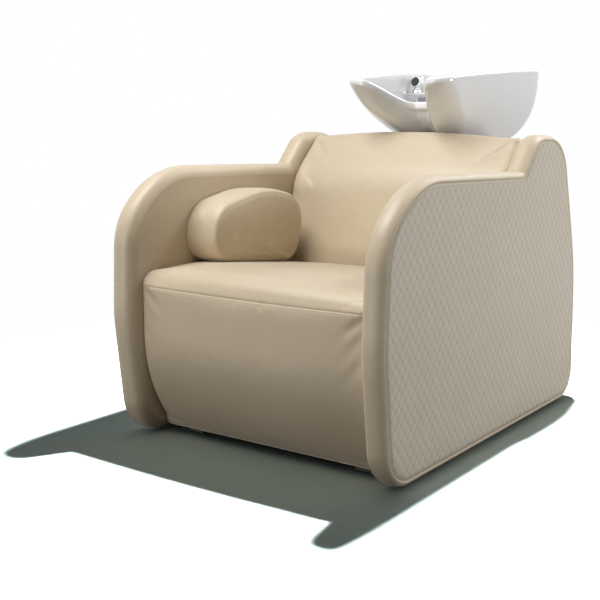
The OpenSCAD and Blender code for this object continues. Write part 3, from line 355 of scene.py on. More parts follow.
def deselect_all() -> None:
    """Leaves object mode with nothing selected."""
    if bpy.context.object and bpy.context.object.mode != "OBJECT":
        bpy.ops.object.mode_set(mode="OBJECT")
    bpy.ops.object.select_all(action="DESELECT")


def select_only(piece: Piece) -> None:
    """Makes one piece the selected and active one."""
    deselect_all()
    piece.select_set(True)
    bpy.context.view_layer.objects.active = piece


@contextmanager
def edited(piece: Piece) -> Iterator[None]:
    """Opens a piece in edit mode with everything selected, and returns to object mode at the end."""
    select_only(piece)
    bpy.ops.object.mode_set(mode="EDIT")
    bpy.ops.mesh.select_all(action="SELECT")
    yield
    bpy.ops.object.mode_set(mode="OBJECT")


def turn_outwards(piece: Piece) -> None:
    """Points all the faces of closed shells outwards."""
    with edited(piece):
        bpy.ops.mesh.normals_make_consistent(inside=False)


def mesh_piece(name: str, points: Array, faces: Sequence[Sequence[int]]) -> Piece:
    """Makes a piece from points and faces.

    Args:
        name: The piece's name.
        points: Places in millimetres.
        faces: The numbers of each face's points, anticlockwise from outside.

    Returns:
        The new piece, in the shared frame.
    """
    mesh = bpy.data.meshes.new(name)
    mesh.from_pydata(to_frame(points).tolist(), [], [list(f) for f in faces])
    mesh.update()
    piece = bpy.data.objects.new(name, mesh)
    bpy.context.scene.collection.objects.link(piece)
    return piece


def smooth_shaded(piece: Piece, angle: float) -> None:
    """Shades a piece smooth across all edges that are flatter than an angle in degrees."""
    select_only(piece)
    bpy.ops.object.shade_smooth_by_angle(angle=math.radians(angle), keep_sharp_edges=False)


def apply_modifiers(piece: Piece) -> None:
    """Applies all the modifiers of a piece in order."""
    select_only(piece)
    for modifier in list(piece.modifiers):
        bpy.ops.object.modifier_apply(modifier=modifier.name)


def subdivide(piece: Piece, levels: int) -> None:
    """Rounds a piece with a subdivision surface."""
    modifier = piece.modifiers.new("rounding", "SUBSURF")
    modifier.levels = levels
    modifier.use_limit_surface = False
    apply_modifiers(piece)


@dataclass
class Skin:
    """A closed skin of quads through rings of equal length.

    Rings run towards +X and their points run anticlockwise seen from +X.

    Attributes:
        points: Places in millimetres, as [ring, place, xyz].
    """

    points: Array

    @property
    def normals(self) -> Array:
        """Outward normal at each point."""
        along = np.roll(self.points, -1, axis=1) - np.roll(self.points, 1, axis=1)
        across = np.gradient(self.points, axis=0)
        out = np.cross(along, across)
        return out / np.maximum(np.linalg.norm(out, axis=2, keepdims=True), 1e-9)

    def finer(self, rings: Array, places: Array) -> "Skin":
        """The same skin read at other rings and places, whole or part."""
        read = np.swapaxes(curved(self.points, rings), 0, 1)
        return Skin(np.swapaxes(curved(read, places, closed=True), 0, 1))

    def halved(self) -> "Skin":
        """The same skin with a ring between each two and a place between each two."""
        rings, places = self.points.shape[:2]
        return self.finer(steps_of(rings, 0.5), np.arange(0, places, 0.5))

    def raised(self, height: Array) -> "Skin":
        """The same skin with each point moved outwards."""
        return Skin(self.points + self.normals * height[..., None])

    def mirrored(self) -> "Skin":
        """The same skin on the other side of the unit."""
        return Skin((self.points * np.array([-1.0, 1.0, 1.0]))[::-1])

    def build(self, name: str) -> Piece:
        """Makes a piece of the skin, with one face on each end."""
        return mesh_piece(name, self.points.reshape(-1, 3), tube_faces(*self.points.shape[:2]))


@dataclass
class Settling:
    """How a stuffed cover swells over its filling, found by cloth simulation.

    Attributes:
        cap: The furthest that a point may move, in millimetres.
        pressure: Pressure of the filling.
        start: Share of the cap by which the cover is drawn in before it swells.
    """

    cap: float
    pressure: float = 4.0
    start: float = 0.5

    def swell(self, cover: Skin, held: Array, name: str) -> Skin:
        """Draws a cover in and lets it swell.

        Args:
            cover: The cover as it would be without its filling's pressure.
            held: 1 for each point that rests on something, 0 for a free one.
            name: Name of the cloth while it is simulated.

        Returns:
            The stuffed cover.
        """
        skin = cover.raised(-self.cap * self.start * (1 - held))
        cloth_piece = skin.build(name)
        group = cloth_piece.vertex_groups.new(name="held")
        for weight in (0.5, 1.0):
            chosen = np.flatnonzero(np.isclose(np.round(held.ravel() * 2) / 2, weight))
            group.add(chosen.tolist(), weight, "REPLACE")
        modifier = cloth_piece.modifiers.new("cloth", "CLOTH")
        modifier.point_cache.frame_start = 1
        modifier.point_cache.frame_end = CLOTH_FRAMES
        settings = modifier.settings
        settings.quality = 5
        settings.mass = 0.3
        settings.tension_stiffness = 20
        settings.compression_stiffness = 20
        settings.shear_stiffness = 8
        settings.bending_stiffness = 2
        settings.use_pressure = True
        settings.uniform_pressure_force = self.pressure
        settings.vertex_group_mass = "held"
        settings.effector_weights.gravity = 0
        scene = bpy.context.scene
        for frame in range(1, CLOTH_FRAMES + 1):
            scene.frame_set(frame)
        shown = cloth_piece.evaluated_get(bpy.context.evaluated_depsgraph_get())
        flat = np.zeros(len(shown.data.vertices) * 3)
        shown.data.vertices.foreach_get("co", flat)
        scene.frame_set(1)
        bpy.data.objects.remove(cloth_piece)
        after = flat.reshape(skin.points.shape) / MM + ORIGIN
        moved = after - skin.points
        length = np.linalg.norm(moved, axis=2, keepdims=True)
        LOG.info("%s swells by %.1f mm at most", name, float(length.max()))
        moved *= self.cap * np.tanh(length / self.cap) / np.maximum(length, 1e-6)
        return Skin(skin.points + moved * (1 - held[..., None]))


@dataclass
class Stitching:
    """A row of stitches along a line on a cover.

    Attributes:
        pitch: Distance from one stitch to the next.
        length: Length of a stitch.
        width: Width of the thread.
    """

    pitch: float = 6.0
    length: float = 4.4
    width: float = 0.8

    def points(self, path: Array, normals: Array) -> tuple[Array, list[list[int]]]:
        """Lays stitches along a path.

        Args:
            path: The line on the cover.
            normals: The cover's outward normal at each point of the line.

        Returns:
            The points of the stitches and their faces.
        """
        reach = reach_along(path)
        at = np.arange(self.pitch / 2, reach[-1], self.pitch)
        centre = read_at(path, reach, at)
        out = read_at(normals, reach, at)
        along = read_at(path, reach, at + 0.5) - centre
        along /= np.maximum(np.linalg.norm(along, axis=1, keepdims=True), 1e-9)
        out -= along * np.sum(out * along, axis=1, keepdims=True)
        out /= np.maximum(np.linalg.norm(out, axis=1, keepdims=True), 1e-9)
        side = np.cross(along, out)
        template, faces = self.template()
        laid = (
            centre[:, None]
            + along[:, None] * template[None, :, :1]
            + side[:, None] * template[None, :, 1:2]
            + out[:, None] * template[None, :, 2:]
        )
        count = len(template)
        all_faces = [[k * count + corner for corner in f] for k in range(len(at)) for f in faces]
        return laid.reshape(-1, 3), all_faces

    def template(self) -> tuple[Array, list[list[int]]]:
        """One stitch, whose two ends dive into the cover."""
        stations = [
            (-0.5, 0.35, -0.5), (-0.32, 0.9, 0.1), (0.0, 1.0, 0.25), (0.32, 0.9, 0.1), (0.5, 0.35, -0.5)
        ]  # place along the stitch, thickness and lift
        sides = 6
        points = [
            [
                share * self.length,
                math.cos(math.tau * k / sides) * thick * self.width / 2,
                (math.sin(math.tau * k / sides) * thick * 0.5 + lift) * self.width,
            ]
            for share, thick, lift in stations
            for k in range(sides)
        ]
        return np.array(points), tube_faces(len(stations), sides)


def tube_faces(rings: int, places: int) -> list[list[int]]:
    """The faces of a closed tube: quads from ring to ring, with one face on each end.

    Args:
        rings: How many rings it has.
        places: How many points a ring has.

    Returns:
        The numbers of each face's points, counted ring by ring.
    """
    number = np.arange(rings * places).reshape(rings, places)
    here, there = number[:-1], number[1:]
    quads = np.stack([here, np.roll(here, -1, 1), np.roll(there, -1, 1), there], axis=2)
    return [*quads.reshape(-1, 4).tolist(), number[0][::-1].tolist(), number[-1].tolist()]


def stitch_piece(name: str, rows: Sequence[tuple[Array, Array]]) -> Piece:
    """Makes one piece of all the stitches along several lines.

    Args:
        name: The piece's name.
        rows: Each line's points and normals.

    Returns:
        The piece.
    """
    stitching = Stitching()
    points: list[Array] = []
    faces: list[list[int]] = []
    start = 0
    for path, normals in rows:
        laid, laid_faces = stitching.points(path, normals)
        points.append(laid)
        faces.extend([[corner + start for corner in f] for f in laid_faces])
        start += len(laid)
    piece = mesh_piece(name, np.vstack(points), faces)
    turn_outwards(piece)
    smooth_shaded(piece, 80)
    return piece


# Finishes


@dataclass
class NodeBoard:
    """A node tree with short ways to add and join its nodes."""

    tree: NodeTree

    def add(self, kind: str, **settings: object) -> Node:
        """Adds a node and sets its own settings."""
        node = self.tree.nodes.new(kind)
        for name, value in settings.items():
            setattr(node, name, value)
        return node

    def join(self, source: Socket, target: Socket) -> None:
        """Joins two sockets."""
        self.tree.links.new(source, target)

    def feed(self, socket: Socket, value: object) -> None:
        """Joins a socket to another one, or sets it to a number."""
        if isinstance(value, Socket):
            self.join(value, socket)
        else:
            socket.default_value = value

    def math(
        self, operation: str, first: object, second: object = 0.0, third: object = 0.0
    ) -> Socket:
        """Adds a Math node.

        Args:
            operation: What the node does.
            first: A socket or a number.
            second: The same.
            third: The same, where the operation has three.

        Returns:
            The node's result.
        """
        node = self.add("ShaderNodeMath", operation=operation)
        for socket, value in zip(node.inputs, (first, second, third)):
            self.feed(socket, value)
        return node.outputs[0]

    def blend(self, factor: Socket, low: object, high: object) -> Socket:
        """Mixes two colours.

        Args:
            factor: The share of the second colour.
            low: A socket or a colour.
            high: A socket or a colour.

        Returns:
            The mixed colour.
        """
        node = self.add("ShaderNodeMix", data_type="RGBA")
        self.join(factor, node.inputs["Factor"])
        for socket, value in ((node.inputs[6], low), (node.inputs[7], high)):
            self.feed(socket, (*value, 1.0) if isinstance(value, tuple) else value)
        return node.outputs[2]

    def span(self, value: Socket, low: float, high: float) -> Socket:
        """Brings a value from 0..1 to another span."""
        node = self.add("ShaderNodeMapRange")
        self.join(value, node.inputs["Value"])
        node.inputs["To Min"].default_value = low
        node.inputs["To Max"].default_value = high
        return node.outputs["Result"]

    def window(
        self, value: Socket, low: float, high: float, **settings: object
    ) -> Socket:
        """Brings a value from a span of its own to 0..1."""
        node = self.add("ShaderNodeMapRange", **settings)
        self.join(value, node.inputs["Value"])
        node.inputs["From Min"].default_value = low
        node.inputs["From Max"].default_value = high
        return node.outputs["Result"]

    def noise(self, vector: Socket, scale: object, detail: float) -> Socket:
        """Adds a noise of a scale, which is a socket or a number."""
        node = self.add("ShaderNodeTexNoise")
        self.join(vector, node.inputs["Vector"])
        node.inputs["Detail"].default_value = detail
        self.feed(node.inputs["Scale"], scale)
        return node.outputs["Fac"]

    def stretched(self, vector: Socket, scale: Corner) -> Socket:
        """Stretches a vector, so that a pattern on it is long and thin."""
        node = self.add("ShaderNodeMapping")
        node.inputs["Scale"].default_value = scale
        self.join(vector, node.inputs["Vector"])
        return node.outputs["Vector"]

    def backdrop_rays(self) -> Socket:
        """1 for the camera, glossy and transmission rays, which see the backdrop as white."""
        rays = self.add("ShaderNodeLightPath")
        seen = self.math("MAXIMUM", rays.outputs["Is Camera Ray"], rays.outputs["Is Glossy Ray"])
        return self.math("MAXIMUM", seen, rays.outputs["Is Transmission Ray"])


def new_group(
    name: str, amount: str, outputs: Sequence[str]
) -> tuple[NodeBoard, Socket, Socket, Node]:
    """Starts a shader node group that reads a vector and an amount.

    Args:
        name: The group's name.
        amount: The name of its second input.
        outputs: The names of its outputs.

    Returns:
        The group's board, its vector, its amount and its output node.
    """
    group = bpy.data.node_groups.new(name, "ShaderNodeTree")
    group.interface.new_socket("Vector", in_out="INPUT", socket_type="NodeSocketVector")
    group.interface.new_socket(amount, in_out="INPUT", socket_type="NodeSocketFloat")
    for label in outputs:
        group.interface.new_socket(label, in_out="OUTPUT", socket_type="NodeSocketFloat")
    board = NodeBoard(group)
    given = board.add("NodeGroupInput")
    return board, given.outputs["Vector"], given.outputs[amount], board.add("NodeGroupOutput")


class Effects:
    """The shader node groups that several finishes share."""

    def __init__(self) -> None:
        """Builds each group once."""
        self.grain = self._grain()
        self.mottle = self._mottle()
        self.scuff = self._scuff()
        self.layers = self._layers()
        self.braid = self._braid()

    def _grain(self) -> NodeTree:
        """Pebbled grain of coated fabric: cells with soft creases between them, and a crease mask for
        painted shade.
        """
        board, vector, scale, out = new_group("pebble_grain", "Cells", ["Height", "Crease"])
        cells = board.add("ShaderNodeTexVoronoi", feature="SMOOTH_F1")
        board.join(vector, cells.inputs["Vector"])
        board.join(scale, cells.inputs["Scale"])
        fine = board.noise(vector, board.math("MULTIPLY", scale, 3.0), 2.0)
        dome = board.math("SUBTRACT", 1.0, cells.outputs["Distance"])
        board.join(board.math("MULTIPLY_ADD", fine, 0.25, dome), out.inputs["Height"])
        beyond = board.math("SUBTRACT", cells.outputs["Distance"], 0.45)
        board.join(board.math("SMOOTH_MAX", beyond, 0.0, 0.1), out.inputs["Crease"])
        return board.tree

    def _mottle(self) -> NodeTree:
        """Slow change of tone over a surface, in two sizes."""
        board, vector, size, out = new_group("slow_mottle", "Size", ["Tone"])
        broad = board.noise(vector, size, 2.0)
        small = board.noise(vector, board.math("MULTIPLY", size, 9.0), 4.0)
        both = board.math("MULTIPLY_ADD", small, 0.4, board.math("MULTIPLY", broad, 0.6))
        board.join(board.window(both, 0.3, 0.7), out.inputs["Tone"])
        return board.tree

    def _scuff(self) -> NodeTree:
        """Fine rubbing marks and worn edges of hard parts."""
        board, vector, size, out = new_group("scuffed_edges", "Size", ["Edge", "Rub"])
        surface = board.add("ShaderNodeNewGeometry")
        edge = board.window(surface.outputs["Pointiness"], 0.53, 0.62)
        board.join(board.math("MULTIPLY", edge, board.noise(vector, size, 5.0)), out.inputs["Edge"])
        along = board.stretched(vector, (1.0, 1.0, 14.0))
        board.join(board.noise(along, board.math("MULTIPLY", size, 2.0), 6.0), out.inputs["Rub"])
        return board.tree

    def _layers(self) -> NodeTree:
        """Veneers of plywood seen on its edges, and the grain of its faces."""
        board, vector, layer, out = new_group("plywood_layers", "Layer", ["Ply", "Grain"])
        split = board.add("ShaderNodeSeparateXYZ")
        board.join(vector, split.inputs[0])
        across = board.math("MULTIPLY_ADD", board.noise(vector, 9.0, 2.0), 0.0008, split.outputs["Z"])
        turn = board.math("MULTIPLY", board.math("DIVIDE", across, layer), math.pi)
        board.join(board.math("MULTIPLY_ADD", board.math("SINE", turn), 0.5, 0.5), out.inputs["Ply"])
        along = board.stretched(vector, (4.0, 60.0, 60.0))
        board.join(board.noise(along, 3.0, 6.0), out.inputs["Grain"])
        return board.tree

    def _braid(self) -> NodeTree:
        """Crossed wires of a braided hose, on its own map."""
        board, vector, wires, out = new_group("wire_braid", "Wires", ["Height", "Gap"])
        split = board.add("ShaderNodeSeparateXYZ")
        board.join(vector, split.inputs[0])
        ways = []
        for sign in (1.0, -1.0):
            lean = board.math("MULTIPLY_ADD", split.outputs["Y"], sign, split.outputs["X"])
            turn = board.math("MULTIPLY", board.math("MULTIPLY", lean, wires), math.tau)
            ways.append(board.math("SINE", turn))
        height = board.math("MULTIPLY_ADD", board.math("MAXIMUM", *ways), 0.5, 0.5)
        board.join(height, out.inputs["Height"])
        board.join(board.math("SUBTRACT", 1.0, height), out.inputs["Gap"])
        return board.tree


@dataclass(frozen=True)
class Finish:
    """What every finish has.

    Attributes:
        name: The material's name.
        colour: Its main colour.
        shade: The colour of its darker places.
        rough: Least and greatest roughness.
        relief: Depth of its fine relief in millimetres.
    """

    name: str
    colour: Colour
    shade: Colour
    rough: tuple[float, float] = (0.4, 0.5)
    relief: float = 0.1

    def start(self) -> tuple[Material, NodeBoard, Node, Socket]:
        """Starts the material.

        Returns:
            The material, its board, its shader and the vector that patterns read.
        """
        material = bpy.data.materials.new(self.name)
        material.use_nodes = True
        board = NodeBoard(material.node_tree)
        shader = material.node_tree.nodes["Principled BSDF"]
        place = board.add("ShaderNodeTexCoord")
        return material, board, shader, place.outputs["Object"]

    def effect(
        self, board: NodeBoard, group: NodeTree, vector: Socket, amount: float
    ) -> Node:
        """Places a shared effect.

        Args:
            board: The material's board.
            group: The effect.
            vector: Where it reads its place.
            amount: The value of its second input.

        Returns:
            The effect's node.
        """
        node = board.add("ShaderNodeGroup", node_tree=group)
        board.join(vector, node.inputs["Vector"])
        node.inputs[1].default_value = amount
        return node

    def tone(
        self, board: NodeBoard, shader: Node, colour: Socket, rough: Socket
    ) -> None:
        """Joins a colour to the shader, and a share that says how rough it is within its limits."""
        board.join(colour, shader.inputs["Base Color"])
        board.join(board.span(rough, *self.rough), shader.inputs["Roughness"])

    def emboss(
        self, board: NodeBoard, shader: Node, height: Socket, strength: float = 0.6
    ) -> None:
        """Joins a height to the shader's normal."""
        bump = board.add("ShaderNodeBump")
        bump.inputs["Distance"].default_value = self.relief * MM
        bump.inputs["Strength"].default_value = strength
        board.join(height, bump.inputs["Height"])
        board.join(bump.outputs["Normal"], shader.inputs["Normal"])


@dataclass(frozen=True)
class CoatedFabric(Finish):
    """Soft coated fabric with a pebbled grain.

    Attributes:
        cells: Grains to a metre.
        crease: How much painted shade darkens the creases between the grains.
        mottle: Slow changes of tone to a metre.
        sheen: Weight and roughness of its soft sheen.
        valley: Attribute of the sewn lines' depth, by which shade is painted into them, if the piece has
            one.
        valley_shade_tone: The tone of the painted shade in a sewn line, as a share of the shade.
        valley_shade_narrow: How closely the painted shade keeps to the line.
        valley_shade_share: How much of the line's colour is the painted shade.
    """

    cells: float = 900.0
    crease: float = 0.7
    mottle: float = 5.0
    sheen: tuple[float, float] = (0.42, 0.4)
    valley: str = ""
    valley_shade_tone: float = 0.72
    valley_shade_narrow: float = 5.0
    valley_shade_share: float = 0.9

    def material(self, effects: Effects) -> Material:
        """Builds the material from the shared effects."""
        material, board, shader, vector = self.start()
        grain = self.effect(board, effects.grain, vector, self.cells)
        mottle = self.effect(board, effects.mottle, vector, self.mottle)
        # the creases between the grains are darkened: painted shade
        tone = board.math("MULTIPLY_ADD", grain.outputs["Crease"], -self.crease, mottle.outputs["Tone"])
        colour = board.blend(tone, self.shade, self.colour)
        # darkens the sewn lines by their depth: painted shade
        if self.valley:
            line = board.add("ShaderNodeAttribute", attribute_name=self.valley)
            deep = board.math("POWER", line.outputs["Fac"], self.valley_shade_narrow)
            dark = tuple(self.valley_shade_tone * part for part in self.shade)
            colour = board.blend(board.math("MULTIPLY", deep, self.valley_shade_share), colour, dark)
        self.tone(board, shader, colour, mottle.outputs["Tone"])
        shader.inputs["Sheen Weight"].default_value = self.sheen[0]
        shader.inputs["Sheen Roughness"].default_value = self.sheen[1]
        self.emboss(board, shader, grain.outputs["Height"])
        return material


@dataclass(frozen=True)
class Thread(Finish):
    """Twisted sewing thread.

    Attributes:
        twist: Changes of tone to a metre.
    """

    twist: float = 300.0

    def material(self, effects: Effects) -> Material:
        """Builds the material from the shared effects."""
        material, board, shader, vector = self.start()
        mottle = self.effect(board, effects.mottle, vector, self.twist).outputs["Tone"]
        self.tone(board, shader, board.blend(mottle, self.shade, self.colour), mottle)
        self.emboss(board, shader, mottle)
        return material


@dataclass(frozen=True)
class Glaze(Finish):
    """Glazed sanitary ceramic.

    Attributes:
        mottle: Slow changes of tone to a metre.
        ripple: Ripples of the glaze to a metre.
        coat: Weight and roughness of the clear coat.
    """

    mottle: float = 6.0
    ripple: float = 55.0
    coat: tuple[float, float] = (0.4, 0.06)

    def material(self, effects: Effects) -> Material:
        """Builds the material from the shared effects."""
        material, board, shader, vector = self.start()
        mottle = self.effect(board, effects.mottle, vector, self.mottle).outputs["Tone"]
        self.tone(board, shader, board.blend(mottle, self.shade, self.colour), mottle)
        shader.inputs["Coat Weight"].default_value = self.coat[0]
        shader.inputs["Coat Roughness"].default_value = self.coat[1]
        self.emboss(board, shader, board.noise(vector, self.ripple, 1.0), 0.25)
        return material


@dataclass(frozen=True)
class HardPart(Finish):
    """Metal, rubber or plastic with rubbing marks and worn edges.

    Attributes:
        metal: 1 for a bare metal, 0 for a coat of paint, rubber or plastic.
        edge: Lightness of its worn edges.
        wear: Share of wear on its edges.
        scuff: Rubbing marks to a metre.
        mottle: Slow changes of tone to a metre.
        pores: Fine pores to a metre.
    """

    metal: float = 0.0
    edge: float = 0.8
    wear: float = 0.3
    scuff: float = 40.0
    mottle: float = 14.0
    pores: float = 700.0

    def material(self, effects: Effects) -> Material:
        """Builds the material from the shared effects."""
        material, board, shader, vector = self.start()
        scuff = self.effect(board, effects.scuff, vector, self.scuff)
        mottle = self.effect(board, effects.mottle, vector, self.mottle)
        colour = board.blend(mottle.outputs["Tone"], self.shade, self.colour)
        worn = board.math("MULTIPLY", scuff.outputs["Edge"], self.wear)
        self.tone(board, shader, board.blend(worn, colour, (self.edge,) * 3), scuff.outputs["Rub"])
        shader.inputs["Metallic"].default_value = self.metal
        self.emboss(board, shader, board.noise(vector, self.pores, 2.0), 0.3)
        return material


@dataclass(frozen=True)
class Plywood(Finish):
    """Birch plywood.

    Attributes:
        turn: Turn in degrees that brings the board's thickness to Z.
        veneer: Thickness of a veneer in metres.
        ply_share: How much the veneers show beside the grain.
    """

    turn: Corner = (0.0, 0.0, 0.0)
    veneer: float = 0.0014
    ply_share: float = 0.35

    def material(self, effects: Effects) -> Material:
        """Builds the material from the shared effects."""
        material, board, shader, vector = self.start()
        turned = board.add("ShaderNodeMapping")
        turned.inputs["Rotation"].default_value = tuple(math.radians(a) for a in self.turn)
        board.join(vector, turned.inputs["Vector"])
        ply = self.effect(board, effects.layers, turned.outputs["Vector"], self.veneer)
        faces = board.math("MULTIPLY", ply.outputs["Grain"], 1 - self.ply_share)
        both = board.math("MULTIPLY_ADD", ply.outputs["Ply"], self.ply_share, faces)
        self.tone(board, shader, board.blend(both, self.shade, self.colour), ply.outputs["Grain"])
        self.emboss(board, shader, ply.outputs["Grain"])
        return material


@dataclass(frozen=True)
class BraidedHose(Finish):
    """Hose with a braid of steel wires, mapped along its own length.

    Attributes:
        wires: Wires round the hose.
        metal: How metallic the braid is. Its colour darkens into painted shade in the gaps between the
            wires.
    """

    wires: float = 8.0
    metal: float = 0.85

    def material(self, effects: Effects) -> Material:
        """Builds the material from the shared effects."""
        material, board, shader, _ = self.start()
        along = board.add("ShaderNodeUVMap", uv_map="along")
        braid = self.effect(board, effects.braid, along.outputs["UV"], self.wires)
        # the braid darkens towards the gaps between its wires: painted shade
        gap_shade = braid.outputs["Gap"]
        self.tone(board, shader, board.blend(gap_shade, self.colour, self.shade), gap_shade)
        shader.inputs["Metallic"].default_value = self.metal
        self.emboss(board, shader, braid.outputs["Height"])
        return material


class Finishes:
    """Every finish of the unit, built once."""

    def __init__(self) -> None:
        """Builds the shared effects and then the materials."""
        effects = Effects()
        self.vinyl = CoatedFabric(
            "smooth_beige_vinyl", (0.600, 0.500, 0.352), (0.548, 0.450, 0.308), (0.38, 0.50), 0.12
        ).material(effects)
        self.quilt = CoatedFabric(
            "quilted_beige_vinyl", (0.600, 0.530, 0.425), (0.545, 0.478, 0.378), (0.46, 0.58), 0.12,
            # the sewn attribute says where shade is painted into the quilt's lines
            valley="sewn",
        ).material(effects)
        self.thread = Thread(
            "beige_thread", (0.50, 0.41, 0.30), (0.36, 0.29, 0.21), (0.55, 0.7), 0.1
        ).material(effects)
        self.ceramic = Glaze(
            "white_glaze", (0.83, 0.835, 0.84), (0.81, 0.812, 0.815), (0.08, 0.14), 0.2
        ).material(effects)
        self.chrome = HardPart(
            "polished_chrome", (0.80, 0.81, 0.83), (0.72, 0.73, 0.75), (0.06, 0.20), 0.01,
            metal=1.0, edge=0.9, wear=0.1,
        ).material(effects)
        self.zinc = HardPart(
            "zinc_plate", (0.60, 0.61, 0.63), (0.47, 0.48, 0.50), (0.28, 0.48), 0.03, metal=1.0, edge=0.75
        ).material(effects)
        self.steel = HardPart(
            "dark_powder_coat", (0.045, 0.047, 0.050), (0.032, 0.033, 0.036), (0.42, 0.6), 0.06,
            edge=0.3, wear=0.4,
        ).material(effects)
        self.rubber = HardPart(
            "black_rubber", (0.030,) * 3, (0.018,) * 3, (0.6, 0.8), 0.05, edge=0.1
        ).material(effects)
        self.plastic = HardPart(
            "white_plastic_pipe", (0.74, 0.74, 0.72), (0.68, 0.68, 0.66), (0.3, 0.45), 0.03, wear=0.2
        ).material(effects)
        self.board_flat, self.board_side, self.board_back = (
            Plywood(name, (0.56, 0.40, 0.24), (0.40, 0.27, 0.15), (0.5, 0.7), 0.15, turn).material(effects)
            for name, turn in (
                ("plywood_flat", (0.0, 0.0, 0.0)), ("plywood_side", (0.0, 90.0, 0.0)),
                ("plywood_back", (65.0, 0.0, 0.0)),
            )
        )
        # its second colour is the painted shade in the braid's gaps
        self.braid = BraidedHose(
            "steel_braid", (0.62, 0.63, 0.65), (0.22, 0.22, 0.24), (0.25, 0.5), 0.3
        ).material(effects)


def dress(piece: Piece, material: Material) -> None:
    """Gives a piece its material.

    Args:
        piece: The piece.
        material: Its material.
    """
    if piece.data.materials:
        for number in range(len(piece.data.materials)):
            piece.data.materials[number] = material
    else:
        piece.data.materials.append(material)


# The armchair


